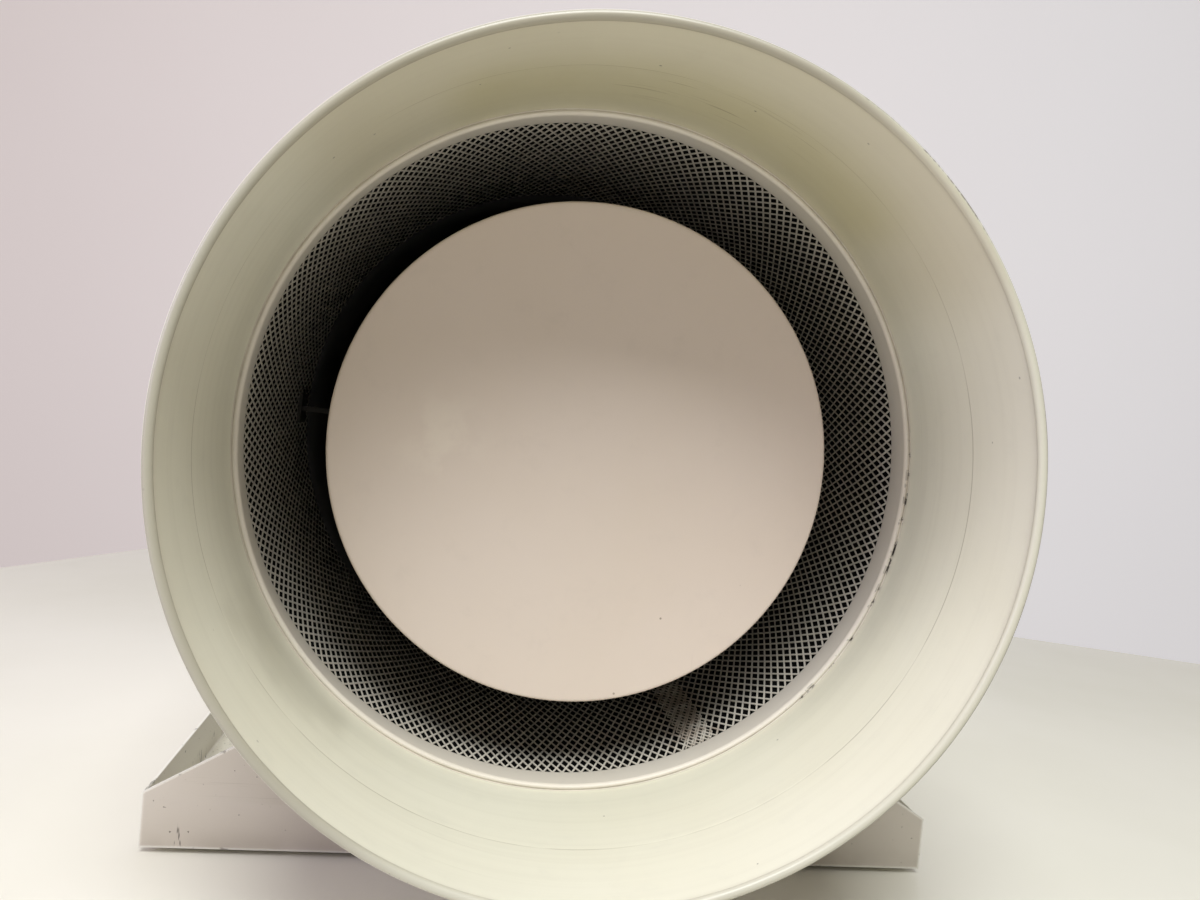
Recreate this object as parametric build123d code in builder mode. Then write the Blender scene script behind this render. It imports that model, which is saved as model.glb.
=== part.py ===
"""Table-top hot-air dryer head: a painted drum with a deflector disc and a mesh sleeve, on a saddle stand.

Frame: +X right, +Y from the open mouth towards the fan, +Z up. Z = 0 is the table.
Depths are measured along +Y from the plane of the drum's rolled rim.
"""

import os
from math import cos, radians, sin, tan

from build123d import *

os.makedirs("parts", exist_ok=True)

# ---- driving dimensions, millimetres and degrees ----
RIM_RADIUS = 170.0  # outside of the rolled rim
DRUM_LENGTH = 430.0
TOTAL_LENGTH = 434.0  # rim to the back of the intake grille
SHEET = 1.2  # drum sheet
ROLL_RADIUS = 2.0  # outside of the rolled rim's section
WIRE_RADIUS = 0.8

COLLAR_START = 120.0  # depth of the inner collar's bead
SLEEVE_START = 139.5
SLEEVE_END = 320.0
SLEEVE_SHEET = 0.8
LINER_THICKNESS = 0.6
BEAD_RADIUS = 1.3

DISC_RADIUS = 126.2
DISC_DEPTH = 129.3  # front face of the deflector disc
DISC_SHEET = 1.5
DISC_RETURN = 7.0  # depth of the disc's folded edge

STAND_HALF_WIDTH = 197.2
STAND_FRONT = 121.3  # depth of the front saddle's outer face
STAND_BACK = 371.3
STAND_SHEET = 1.5
FLANGE_HEIGHT = 26.9
SADDLE_SLOPE = 30.6
FOOT_HEIGHT = 3.0
AXIS_ABOVE_STAND = 203.9
TRIM_THICKNESS = 2.0
BOLT_SPACING_X = 260.0
BOLT_SPACING_Y = 160.0
BOLT_HOLE_RADIUS = 3.3

SCREW_SHANK = 1.9
SCREW_HEAD = 4.0

ARM_COUNT = 3
ARM_TURN = 62.2  # turn of the spider's first arm below the horizontal, on the right
SPIDER_FRONT = 286.0
SPIDER_BACK = 296.0
SPINDLE_RADIUS = 6.0
RUNNING_FIT = 0.05  # radial clearance of a running fit

SHROUD_LIP = 16.0  # radius of the fan shroud's rounded lip
SHROUD_SHEET = 1.5
SHROUD_END = 366.0
IMPELLER_RADIUS = 146.0
IMPELLER_HUB = 38.0
IMPELLER_FRONT = 322.0
IMPELLER_BACK = 350.0
BLADE_COUNT = 6
SHAFT_RADIUS = 5.0
MOTOR_FRONT = 358.0
MOTOR_BACK = 418.0
MOTOR_RADIUS = 45.0

# ---- sizes that follow from them ----
RIM_Y = -TOTAL_LENGTH / 2
AXIS_Z = FOOT_HEIGHT + AXIS_ABOVE_STAND
CASING_INNER = RIM_RADIUS - ROLL_RADIUS
CASING_OUTER = CASING_INNER + SHEET
SLEEVE_OUTER = CASING_INNER - LINER_THICKNESS
SLEEVE_INNER = SLEEVE_OUTER - SLEEVE_SHEET
SADDLE_RADIUS = CASING_OUTER + TRIM_THICKNESS
FLANGE_TOP = FOOT_HEIGHT + FLANGE_HEIGHT
STAND_MIDDLE = (STAND_FRONT + STAND_BACK) / 2
TRAY_DEPTH = STAND_BACK - STAND_FRONT - 2 * STAND_SHEET
TRAY_FLOOR = FOOT_HEIGHT + STAND_SHEET

drum_axis = Axis((0, RIM_Y, AXIS_Z), (0, 1, 0))
# Half-section of the drum: local x is the radius and local y the depth.
section = Plane(origin=(0, RIM_Y, AXIS_Z), x_dir=(1, 0, 0), z_dir=(0, 0, 1))
pieces = {}


def across(depth):
    """A plane square to the drum's axis that faces the back; local x is right and local y down."""
    return Plane(origin=(0, RIM_Y + depth, AXIS_Z), x_dir=(1, 0, 0), z_dir=(0, 1, 0))


def upright(depth):
    """An upright plane that faces the front, with its origin on the table; local x is right and y up."""
    return Plane(origin=(0, RIM_Y + depth, 0), x_dir=(1, 0, 0), z_dir=(0, -1, 0))


def side_on(x):
    """A plane square to X; local x is the depth and local y the height above the table."""
    return Plane(origin=(x, RIM_Y, 0), x_dir=(0, 1, 0), z_dir=(1, 0, 0))


def level(height):
    """A level plane that faces up; local x is right and local y the depth."""
    return Plane(origin=(0, RIM_Y, height), x_dir=(1, 0, 0), z_dir=(0, 0, 1))


def ring(inner, outer, start, end):
    """A ring about the drum's axis between two radii and two depths."""
    with BuildPart() as piece:
        with BuildSketch(section):
            with Locations(((inner + outer) / 2, (start + end) / 2)):
                Rectangle(outer - inner, end - start)
        revolve(axis=drum_axis)
    return piece


def hex_nut(across_flats, bore, start, end):
    """A hexagon nut about the drum's axis."""
    with BuildPart() as piece:
        with BuildSketch(across(start)):
            RegularPolygon(radius=across_flats / 2, side_count=6, major_radius=False)
            Circle(bore, mode=Mode.SUBTRACT)
        extrude(amount=end - start)
    return piece


def radial_pins(depth, count, turn, radius, start, length):
    """Round pins that point out from the drum's axis, from a start radius."""
    with BuildPart() as pins:
        for index in range(count):
            angle = radians(turn + 360 * index / count)
            outward = (cos(angle), 0, sin(angle))
            foot = (start * cos(angle), RIM_Y + depth, AXIS_Z + start * sin(angle))
            with BuildSketch(Plane(origin=foot, x_dir=(0, 1, 0), z_dir=outward)):
                Circle(radius)
            extrude(amount=length)
    return pins.part


def radial_screws(depth, count, turn, length):
    """Screws through the drum's wall, with their heads outside it."""
    with BuildPart() as screws:
        add(radial_pins(depth, count, turn, SCREW_SHANK, CASING_OUTER - length, length))
        add(radial_pins(depth, count, turn, SCREW_HEAD, CASING_OUTER, 2.0))
    return screws


# ---- drum casing: a tube whose front edge is rolled around a wire ----
COVER_SCREW_DEPTH = DRUM_LENGTH - 6.0
COVER_SCREWS = 6
COVER_TURN = 30.0
MOUNT_SCREW_DEPTH = 389.0
MOUNT_ARMS = 4
MOUNT_TURN = 45.0
DRILL_START = 150.0  # radii between which the drum's screw holes are drilled
DRILL_LENGTH = 25.0
CONDUIT_X = 100.0
CONDUIT_DEPTH = 345.0
GROMMET_RADIUS = 8.0
cover_screw_holes = radial_pins(
    COVER_SCREW_DEPTH, COVER_SCREWS, COVER_TURN, SCREW_SHANK, DRILL_START, DRILL_LENGTH
)
mount_screw_holes = radial_pins(
    MOUNT_SCREW_DEPTH, MOUNT_ARMS, MOUNT_TURN, SCREW_SHANK, DRILL_START, DRILL_LENGTH
)

with BuildPart() as drum_casing:
    with BuildSketch(section):
        with Locations((CASING_INNER + SHEET / 2, (DRUM_LENGTH + ROLL_RADIUS) / 2)):
            Rectangle(SHEET, DRUM_LENGTH - ROLL_RADIUS)
        with Locations((CASING_INNER, ROLL_RADIUS)):
            Circle(ROLL_RADIUS)
            Circle(WIRE_RADIUS, mode=Mode.SUBTRACT)
        # the slit where the rolled edge meets the wall again
        with Locations((CASING_INNER - 0.45, 1.75 * ROLL_RADIUS)):
            Rectangle(0.4, 1.5 * ROLL_RADIUS, mode=Mode.SUBTRACT)
    revolve(axis=drum_axis)
    add(cover_screw_holes, mode=Mode.SUBTRACT)
    add(mount_screw_holes, mode=Mode.SUBTRACT)
    with BuildSketch(level(40)):
        with Locations((CONDUIT_X, CONDUIT_DEPTH)):
            Circle(GROMMET_RADIUS)
    extrude(amount=60, mode=Mode.SUBTRACT)
pieces["drum_casing"] = drum_casing

with BuildPart() as rim_wire:
    with BuildSketch(section):
        with Locations((CASING_INNER, ROLL_RADIUS)):
            Circle(WIRE_RADIUS)
    revolve(axis=drum_axis)
pieces["rim_wire"] = rim_wire

# ---- inner collar: a short band with a rolled front edge, flush with the mesh sleeve behind it ----
with BuildPart() as inner_collar:
    with BuildSketch(section):
        with Locations(((SLEEVE_INNER + CASING_INNER) / 2, (COLLAR_START + SLEEVE_START) / 2)):
            Rectangle(CASING_INNER - SLEEVE_INNER, SLEEVE_START - COLLAR_START)
        with Locations((CASING_INNER - BEAD_RADIUS, COLLAR_START)):
            Circle(BEAD_RADIUS)
    revolve(axis=drum_axis)
pieces["inner_collar"] = inner_collar
pieces["acoustic_liner"] = ring(SLEEVE_OUTER, CASING_INNER, SLEEVE_START, SLEEVE_END)
pieces["mesh_sleeve"] = ring(SLEEVE_INNER, SLEEVE_OUTER, SLEEVE_START, SLEEVE_END)

# ---- fan shroud: a black bellmouth whose lip curves in from the drum's wall ----
SHROUD_INNER = CASING_INNER - SHROUD_LIP
SHROUD_TURN = SLEEVE_END + SHROUD_LIP  # depth where the lip becomes a straight duct
with BuildPart() as fan_shroud:
    with BuildSketch(section):
        with BuildLine():
            Line((CASING_INNER, SLEEVE_END + SHROUD_SHEET), (CASING_INNER, SLEEVE_END))
            CenterArc((CASING_INNER, SHROUD_TURN), SHROUD_LIP, 180, 90)
            Line((SHROUD_INNER, SHROUD_TURN), (SHROUD_INNER, SHROUD_END))
            Line((SHROUD_INNER, SHROUD_END), (SHROUD_INNER + SHROUD_SHEET, SHROUD_END))
            Line((SHROUD_INNER + SHROUD_SHEET, SHROUD_END), (SHROUD_INNER + SHROUD_SHEET, SHROUD_TURN))
            CenterArc((CASING_INNER, SHROUD_TURN), SHROUD_LIP - SHROUD_SHEET, 180, 90)
        make_face()
    revolve(axis=drum_axis)
pieces["fan_shroud"] = fan_shroud

# ---- deflector: a flat disc with a folded edge, on a hub that screws along the spindle ----
HUB_RADIUS = 16.0
HUB_FLANGE = 32.0
HUB_START = DISC_DEPTH + DISC_SHEET
HUB_END = HUB_START + 45.0
HUB_BORE_START = HUB_START + 3.0
with BuildPart() as deflector_disc:
    with BuildSketch(section):
        with BuildLine():
            Line((0, DISC_DEPTH), (DISC_RADIUS - 1.5, DISC_DEPTH))
            JernArc((DISC_RADIUS - 1.5, DISC_DEPTH), (1, 0), 1.5, 90)
            Line((DISC_RADIUS, DISC_DEPTH + 1.5), (DISC_RADIUS, DISC_DEPTH + DISC_RETURN))
            Line((DISC_RADIUS, DISC_DEPTH + DISC_RETURN), (DISC_RADIUS - SHEET, DISC_DEPTH + DISC_RETURN))
            Line((DISC_RADIUS - SHEET, DISC_DEPTH + DISC_RETURN), (DISC_RADIUS - SHEET, HUB_START))
            Line((DISC_RADIUS - SHEET, HUB_START), (0, HUB_START))
            Line((0, HUB_START), (0, DISC_DEPTH))
        make_face()
    revolve(axis=drum_axis)
pieces["deflector_disc"] = deflector_disc

with BuildPart() as deflector_hub:
    with BuildSketch(across(HUB_START)):
        Circle(HUB_FLANGE)
    extrude(amount=2.5)
    with BuildSketch(across(HUB_START)):
        Circle(HUB_RADIUS)
    extrude(amount=HUB_END - HUB_START)
    with BuildSketch(across(HUB_BORE_START)):
        Circle(SPINDLE_RADIUS + RUNNING_FIT)
    extrude(amount=HUB_END - HUB_BORE_START, mode=Mode.SUBTRACT)
    chamfer(deflector_hub.edges().group_by(Axis.Y)[-1], length=0.8)
pieces["deflector_hub"] = deflector_hub

SPINDLE_START = 150.0
SPINDLE_END = 304.0
NUT_START = 192.0
with BuildPart() as deflector_spindle:
    with BuildSketch(across(SPINDLE_START)):
        Circle(SPINDLE_RADIUS)
    extrude(amount=SPINDLE_END - SPINDLE_START)
    chamfer(deflector_spindle.edges().filter_by(GeomType.CIRCLE), length=0.8)
pieces["deflector_spindle"] = deflector_spindle
pieces["spindle_lock_nut"] = hex_nut(19, SPINDLE_RADIUS, NUT_START, NUT_START + 8)
pieces["spider_nut"] = hex_nut(19, SPINDLE_RADIUS, SPIDER_BACK, SPIDER_BACK + 6)

# ---- spider: three flat arms from the spindle to the sleeve ----
ARM_THICKNESS = 3.0
with BuildPart() as spider_bracket:
    with BuildSketch(across(SPIDER_FRONT)):
        Circle(HUB_RADIUS)
        with PolarLocations(SLEEVE_INNER / 2, ARM_COUNT, start_angle=ARM_TURN):
            Rectangle(SLEEVE_INNER + 4, ARM_THICKNESS)
        Circle(SLEEVE_INNER, mode=Mode.INTERSECT)
        Circle(SPINDLE_RADIUS, mode=Mode.SUBTRACT)
    extrude(amount=SPIDER_BACK - SPIDER_FRONT)
    with BuildSketch(across(SPIDER_FRONT - 6)):
        with PolarLocations(SLEEVE_INNER - 2, ARM_COUNT, start_angle=ARM_TURN):
            Rectangle(8, 18)
        Circle(SLEEVE_INNER, mode=Mode.INTERSECT)
        Circle(SLEEVE_INNER - 2, mode=Mode.SUBTRACT)
    extrude(amount=SPIDER_BACK - SPIDER_FRONT + 10)
pieces["spider_bracket"] = spider_bracket

# ---- heater: ring elements carried by mica boards that stand on ceramic spacers ----
HEATER_FRONT = 205.0
HEATER_BACK = 275.0
BOARD_OUTER = 116.0
BOARD_TUBE = 17.0
BOARD_THICKNESS = 1.5
ELEMENT_RADIUS = 2.5
ELEMENT_RINGS = [(radius, depth) for radius in (45.0, 70.0, 95.0) for depth in (225.0, 255.0)]
SPACER_AT = 60.0

with BuildPart() as heater_elements:
    for radius, depth in ELEMENT_RINGS:
        with BuildSketch(section):
            with Locations((radius, depth)):
                Circle(ELEMENT_RADIUS)
        revolve(axis=drum_axis)
pieces["heater_elements"] = heater_elements

with BuildPart() as heater_boards:
    with BuildSketch(across(HEATER_FRONT)):
        Circle(BOARD_TUBE)
        with PolarLocations(BOARD_OUTER / 2, ARM_COUNT, start_angle=ARM_TURN):
            Rectangle(BOARD_OUTER, BOARD_THICKNESS)
        Circle(BOARD_TUBE - 3, mode=Mode.SUBTRACT)
    extrude(amount=HEATER_BACK - HEATER_FRONT)
    add(heater_elements.part, mode=Mode.SUBTRACT)
pieces["heater_boards"] = heater_boards

with BuildPart() as heater_spacers:
    with BuildSketch(across(HEATER_BACK)):
        with PolarLocations(SPACER_AT, ARM_COUNT, start_angle=ARM_TURN):
            Circle(5)
    extrude(amount=SPIDER_FRONT - HEATER_BACK)
pieces["heater_spacers"] = heater_spacers

CUTOUT_AT = 95.0
with BuildPart() as thermal_cutout:
    with BuildSketch(across(SPIDER_FRONT)):
        with PolarLocations(CUTOUT_AT, 1, start_angle=ARM_TURN):
            Circle(9)
    extrude(amount=-3)
    with BuildSketch(across(SPIDER_FRONT - 3)):
        with PolarLocations(CUTOUT_AT, 1, start_angle=ARM_TURN):
            Circle(7)
    extrude(amount=-5)
pieces["thermal_cutout"] = thermal_cutout

# ---- motor: a can and an end cap with two bearings, a wound stator and a rotor ----
CAN_WALL = 2.0
PLATE = 2.5
BEARING_RADIUS = 11.0
BEARING_WIDTH = 7.0
STATOR_START = 372.0
STATOR_END = 404.0
STATOR_INNER = 27.5
ROTOR_RADIUS = 27.0
WINDING_LENGTH = 5.0
SHAFT_CLEARANCE = 1.0

with BuildPart() as motor_can:
    with BuildSketch(section):
        with BuildLine():
            Polyline(
                (SHAFT_RADIUS + SHAFT_CLEARANCE, MOTOR_FRONT),
                (MOTOR_RADIUS, MOTOR_FRONT),
                (MOTOR_RADIUS, MOTOR_BACK - PLATE),
                (MOTOR_RADIUS - CAN_WALL, MOTOR_BACK - PLATE),
                (MOTOR_RADIUS - CAN_WALL, MOTOR_FRONT + PLATE),
                (BEARING_RADIUS + CAN_WALL, MOTOR_FRONT + PLATE),
                (BEARING_RADIUS + CAN_WALL, MOTOR_FRONT + 1 + BEARING_WIDTH),
                (BEARING_RADIUS, MOTOR_FRONT + 1 + BEARING_WIDTH),
                (BEARING_RADIUS, MOTOR_FRONT + 1),
                (SHAFT_RADIUS + SHAFT_CLEARANCE, MOTOR_FRONT + 1),
                close=True,
            )
        make_face()
    revolve(axis=drum_axis)
pieces["motor_can"] = motor_can

CAP_INNER = MOTOR_BACK - PLATE
with BuildPart() as motor_end_cap:
    with BuildSketch(section):
        with BuildLine():
            Polyline(
                (0, MOTOR_BACK),
                (MOTOR_RADIUS, MOTOR_BACK),
                (MOTOR_RADIUS, CAP_INNER),
                (BEARING_RADIUS + CAN_WALL, CAP_INNER),
                (BEARING_RADIUS + CAN_WALL, CAP_INNER - BEARING_WIDTH),
                (BEARING_RADIUS, CAP_INNER - BEARING_WIDTH),
                (BEARING_RADIUS, CAP_INNER),
                (0, CAP_INNER),
                close=True,
            )
        make_face()
    revolve(axis=drum_axis)
pieces["motor_end_cap"] = motor_end_cap

with BuildPart() as motor_bearings:
    for start in (MOTOR_FRONT + 1, CAP_INNER - BEARING_WIDTH):
        with BuildSketch(across(start)):
            Circle(BEARING_RADIUS)
            Circle(SHAFT_RADIUS + RUNNING_FIT, mode=Mode.SUBTRACT)
        extrude(amount=BEARING_WIDTH)
pieces["motor_bearings"] = motor_bearings
pieces["stator_core"] = ring(STATOR_INNER, MOTOR_RADIUS - CAN_WALL, STATOR_START, STATOR_END)

with BuildPart() as stator_windings:
    for start in (STATOR_START - WINDING_LENGTH, STATOR_END):
        with BuildSketch(across(start)):
            Circle(39)
            Circle(31, mode=Mode.SUBTRACT)
        extrude(amount=WINDING_LENGTH)
pieces["stator_windings"] = stator_windings
pieces["rotor_core"] = ring(SHAFT_RADIUS, ROTOR_RADIUS, STATOR_START, STATOR_END)

SHAFT_START = 312.0
SHAFT_END = CAP_INNER - 1.0
with BuildPart() as fan_shaft:
    with BuildSketch(across(SHAFT_START)):
        Circle(SHAFT_RADIUS)
    extrude(amount=SHAFT_END - SHAFT_START)
    chamfer(fan_shaft.edges().filter_by(GeomType.CIRCLE), length=0.5)
pieces["fan_shaft"] = fan_shaft
pieces["impeller_nut"] = hex_nut(17, SHAFT_RADIUS, IMPELLER_FRONT - 7, IMPELLER_FRONT)

# ---- impeller: a hub with pitched blades ----
BLADE_ROOT = 30.0
BLADE_MIDDLE = (IMPELLER_FRONT + IMPELLER_BACK) / 2


def blade_section(radius):
    """A plane square to a blade that points right; local x is tangential and local y is the depth."""
    return Plane(origin=(radius, RIM_Y + BLADE_MIDDLE, AXIS_Z), x_dir=(0, 0, -1), z_dir=(1, 0, 0))


with BuildPart() as blade:
    with BuildSketch(blade_section(BLADE_ROOT)):
        Rectangle(36, 3.5, rotation=40)
    with BuildSketch(blade_section(IMPELLER_RADIUS)):
        Rectangle(66, 2.2, rotation=20)
    loft()

with BuildPart() as impeller:
    with BuildSketch(across(IMPELLER_FRONT)):
        Circle(IMPELLER_HUB)
    extrude(amount=IMPELLER_BACK - IMPELLER_FRONT)
    for index in range(BLADE_COUNT):
        add(blade.part.rotate(drum_axis, 360 * index / BLADE_COUNT))
    with BuildSketch(across(IMPELLER_FRONT)):
        Circle(SHAFT_RADIUS)
    extrude(amount=IMPELLER_BACK - IMPELLER_FRONT, mode=Mode.SUBTRACT)
pieces["impeller"] = impeller

# ---- motor mount: a clamp ring with four arms screwed to the casing ----
MOUNT_START = 376.0
MOUNT_END = 394.0
MOUNT_PLATE = 3.0
TAB_START = 380.0
TAB_END = 398.0
with BuildPart() as motor_mount:
    with BuildSketch(across(MOUNT_START)):
        Circle(MOTOR_RADIUS + 3)
        Circle(MOTOR_RADIUS, mode=Mode.SUBTRACT)
    extrude(amount=MOUNT_END - MOUNT_START)
    with BuildSketch(across(TAB_START)):
        with PolarLocations(CASING_INNER / 2, MOUNT_ARMS, start_angle=MOUNT_TURN):
            Rectangle(CASING_INNER + 4, 20)
        Circle(CASING_INNER, mode=Mode.INTERSECT)
        Circle(MOTOR_RADIUS, mode=Mode.SUBTRACT)
    extrude(amount=MOUNT_PLATE)
    with BuildSketch(across(TAB_START)):
        with PolarLocations(CASING_INNER - 2, MOUNT_ARMS, start_angle=MOUNT_TURN):
            Rectangle(10, 20)
        Circle(CASING_INNER, mode=Mode.INTERSECT)
        Circle(CASING_INNER - 2, mode=Mode.SUBTRACT)
    extrude(amount=TAB_END - TAB_START)
    add(mount_screw_holes, mode=Mode.SUBTRACT)
pieces["motor_mount"] = motor_mount
pieces["mount_screws"] = radial_screws(MOUNT_SCREW_DEPTH, MOUNT_ARMS, MOUNT_TURN, 6.0)

# ---- rear cover with its grille and dust filter ----
SKIRT_DEPTH = 12.0
INTAKE_RADIUS = 140.0
GRILLE_RADIUS = 150.0
GRILLE_THICKNESS = TOTAL_LENGTH - DRUM_LENGTH - SHEET
with BuildPart() as rear_cover:
    with BuildSketch(across(DRUM_LENGTH)):
        Circle(CASING_OUTER)
        Circle(INTAKE_RADIUS, mode=Mode.SUBTRACT)
    extrude(amount=SHEET)
    with BuildSketch(across(DRUM_LENGTH - SKIRT_DEPTH)):
        Circle(CASING_INNER)
        Circle(CASING_INNER - SHEET, mode=Mode.SUBTRACT)
    extrude(amount=SKIRT_DEPTH)
    add(cover_screw_holes, mode=Mode.SUBTRACT)
pieces["rear_cover"] = rear_cover
pieces["cover_screws"] = radial_screws(COVER_SCREW_DEPTH, COVER_SCREWS, COVER_TURN, 7.0)

GRILLE_BAR = 2.4
GRILLE_PITCH = 10.0
with BuildPart() as intake_grille:
    with BuildSketch(across(DRUM_LENGTH + SHEET)):
        for index in range(14):
            outer = GRILLE_RADIUS - GRILLE_PITCH * index
            with BuildSketch(mode=Mode.ADD):
                Circle(outer)
                Circle(outer - GRILLE_BAR, mode=Mode.SUBTRACT)
        with PolarLocations(0, 4):
            Rectangle(2 * GRILLE_RADIUS - 2, 4)
        Circle(GRILLE_PITCH + GRILLE_BAR)
    extrude(amount=GRILLE_THICKNESS)
pieces["intake_grille"] = intake_grille

with BuildPart() as dust_filter:
    with BuildSketch(across(DRUM_LENGTH)):
        Circle(INTAKE_RADIUS + 15)
    extrude(amount=-8)
pieces["dust_filter"] = dust_filter

# ---- stand: an open tray closed in front and behind by saddle panels ----
FOOT_X = 182.0
FOOT_SPACING_Y = 192.0
FOOT_SCREW = 2.0
RIVET_SHANK = 1.6
RIVET_HEAD = 3.2
TAB_DEPTH = 14.0
RIVET_X = (-177.0, -60.0, 60.0, 177.0)
BRACKET_WIDTH = 40.0
BRACKET_SCREW = 2.0
BRACKET_SCREW_X = 12.0
BRACKET_SCREW_Z = 20.0
RIVET_DEPTHS = (STAND_FRONT + STAND_SHEET + 8.0, STAND_BACK - STAND_SHEET - 8.0)

with BuildPart() as base_tray:
    with BuildSketch(upright(STAND_BACK - STAND_SHEET)):
        with Locations((0, FOOT_HEIGHT + FLANGE_HEIGHT / 2)):
            Rectangle(2 * STAND_HALF_WIDTH, FLANGE_HEIGHT)
        with Locations((0, TRAY_FLOOR + FLANGE_HEIGHT / 2)):
            Rectangle(2 * (STAND_HALF_WIDTH - STAND_SHEET), FLANGE_HEIGHT, mode=Mode.SUBTRACT)
    extrude(amount=TRAY_DEPTH)
    with BuildSketch(level(0)):
        with Locations((0, STAND_MIDDLE)):
            with GridLocations(BOLT_SPACING_X, BOLT_SPACING_Y, 2, 2):
                Circle(BOLT_HOLE_RADIUS)
            with GridLocations(2 * FOOT_X, FOOT_SPACING_Y, 2, 2):
                Circle(FOOT_SCREW)
        with Locations([(x, depth) for x in RIVET_X for depth in RIVET_DEPTHS]):
            Circle(RIVET_SHANK)
    extrude(amount=TRAY_FLOOR + 1, mode=Mode.SUBTRACT)
pieces["base_tray"] = base_tray


# A saddle panel's outline without its round cut-out; the slopes meet at the apex above it.
SADDLE_APEX = FLANGE_TOP + STAND_HALF_WIDTH * tan(radians(SADDLE_SLOPE))
with BuildSketch() as saddle_outline:
    with BuildLine():
        Polyline(
            (-STAND_HALF_WIDTH, FOOT_HEIGHT),
            (STAND_HALF_WIDTH, FOOT_HEIGHT),
            (STAND_HALF_WIDTH, FLANGE_TOP),
            (0, SADDLE_APEX),
            (-STAND_HALF_WIDTH, FLANGE_TOP),
            close=True,
        )
    make_face()


def saddle_panel(outer_depth, inward, cut_outs):
    """A saddle panel with a riveted tab; inward is 1 at the front panel and -1 at the rear one."""
    inner_depth = outer_depth + inward * STAND_SHEET
    with BuildPart() as piece:
        with BuildSketch(upright(max(outer_depth, inner_depth))):
            add(saddle_outline.sketch)
            with Locations((0, AXIS_Z)):
                Circle(SADDLE_RADIUS, mode=Mode.SUBTRACT)
            with Locations((-BRACKET_SCREW_X, BRACKET_SCREW_Z), (BRACKET_SCREW_X, BRACKET_SCREW_Z)):
                Circle(BRACKET_SCREW, mode=Mode.SUBTRACT)
            for x, z, width, height in cut_outs:
                with Locations((x, z)):
                    Rectangle(width, height, mode=Mode.SUBTRACT)
        extrude(amount=STAND_SHEET)
        with BuildSketch(level(TRAY_FLOOR)):
            with Locations((0, inner_depth + inward * TAB_DEPTH / 2)):
                Rectangle(2 * STAND_HALF_WIDTH - 30, TAB_DEPTH)
            with Locations([(x, inner_depth + inward * 8.0) for x in RIVET_X]):
                Circle(RIVET_SHANK, mode=Mode.SUBTRACT)
        extrude(amount=STAND_SHEET)
    return piece


def edge_trim(outer_depth, inward):
    """Rubber channel on a saddle's round edge; the casing rests on it."""
    lip = 1.0
    low = min(outer_depth, outer_depth + inward * STAND_SHEET)
    with BuildPart() as piece:
        with BuildSketch(upright(low + STAND_SHEET + lip)):
            add(saddle_outline.sketch)
            with Locations((0, AXIS_Z)):
                Circle(SADDLE_RADIUS + 3, mode=Mode.INTERSECT)
                Circle(CASING_OUTER, mode=Mode.SUBTRACT)
        extrude(amount=STAND_SHEET + 2 * lip)
        with BuildSketch(upright(low + STAND_SHEET)):
            with Locations((0, AXIS_Z)):
                Circle(SADDLE_RADIUS + 10)
                Circle(SADDLE_RADIUS, mode=Mode.SUBTRACT)
        extrude(amount=STAND_SHEET, mode=Mode.SUBTRACT)
    return piece


def drum_bracket(outer_depth, inward):
    """A bent strip from a saddle panel up to the underside of the drum."""
    inner_depth = outer_depth + inward * STAND_SHEET
    strip = 2.0
    leg_bottom = 12.0
    shelf = AXIS_Z - SADDLE_RADIUS - 6.0
    top = AXIS_Z - CASING_OUTER
    reach = 27.0
    with BuildPart() as piece:
        with BuildSketch(side_on(-BRACKET_WIDTH / 2)):
            with Locations((inner_depth + inward * strip / 2, (leg_bottom + shelf) / 2)):
                Rectangle(strip, shelf - leg_bottom)
            with Locations((inner_depth + inward * reach / 2, shelf - strip / 2)):
                Rectangle(reach, strip)
            with Locations((inner_depth + inward * (reach - strip / 2), (shelf - strip + top) / 2)):
                Rectangle(strip, top - shelf + strip)
            with Locations((inner_depth + inward * (reach + 5) / 2, top - strip / 2)):
                Rectangle(reach - 5, strip)
        extrude(amount=BRACKET_WIDTH)
        with BuildSketch(upright(STAND_BACK)):
            with Locations((-BRACKET_SCREW_X, BRACKET_SCREW_Z), (BRACKET_SCREW_X, BRACKET_SCREW_Z)):
                Circle(BRACKET_SCREW)
        extrude(amount=STAND_BACK - STAND_FRONT, mode=Mode.SUBTRACT)
    return piece


# ---- controls on the rear saddle: a rocker switch, a heat selector and a mains inlet ----
SWITCH_X = 156.0
SWITCH_Z = 28.0
SWITCH_WIDTH = 20.0
SWITCH_HEIGHT = 26.0
SWITCH_BODY = 22.0
ROCKER_WIDTH = 14.0
ROCKER_RADIUS = 10.0
ROCKER_TILT = 10.0
ROCKER_DEPTH = STAND_BACK - 4.0  # depth of the rocker's pivot
PIVOT_RADIUS = 1.5
BEZEL = 2.0
KNOB_X = 116.0
KNOB_Z = 36.0
KNOB_RADIUS = 15.0
KNOB_LENGTH = 16.0
SELECTOR_SHAFT = 3.0
SELECTOR_SIZE = 24.0
INLET_X = -150.0
INLET_Z = 28.0
INLET_WIDTH = 28.0
INLET_HEIGHT = 20.5

pieces["front_saddle"] = saddle_panel(STAND_FRONT, 1, [])
pieces["rear_saddle"] = saddle_panel(
    STAND_BACK,
    -1,
    [
        (SWITCH_X, SWITCH_Z, SWITCH_WIDTH, SWITCH_HEIGHT),
        (KNOB_X, KNOB_Z, 8.0, 8.0),
        (INLET_X, INLET_Z, INLET_WIDTH, INLET_HEIGHT),
    ],
)
pieces["front_edge_trim"] = edge_trim(STAND_FRONT, 1)
pieces["rear_edge_trim"] = edge_trim(STAND_BACK, -1)
pieces["front_bracket"] = drum_bracket(STAND_FRONT, 1)
pieces["rear_bracket"] = drum_bracket(STAND_BACK, -1)

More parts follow.
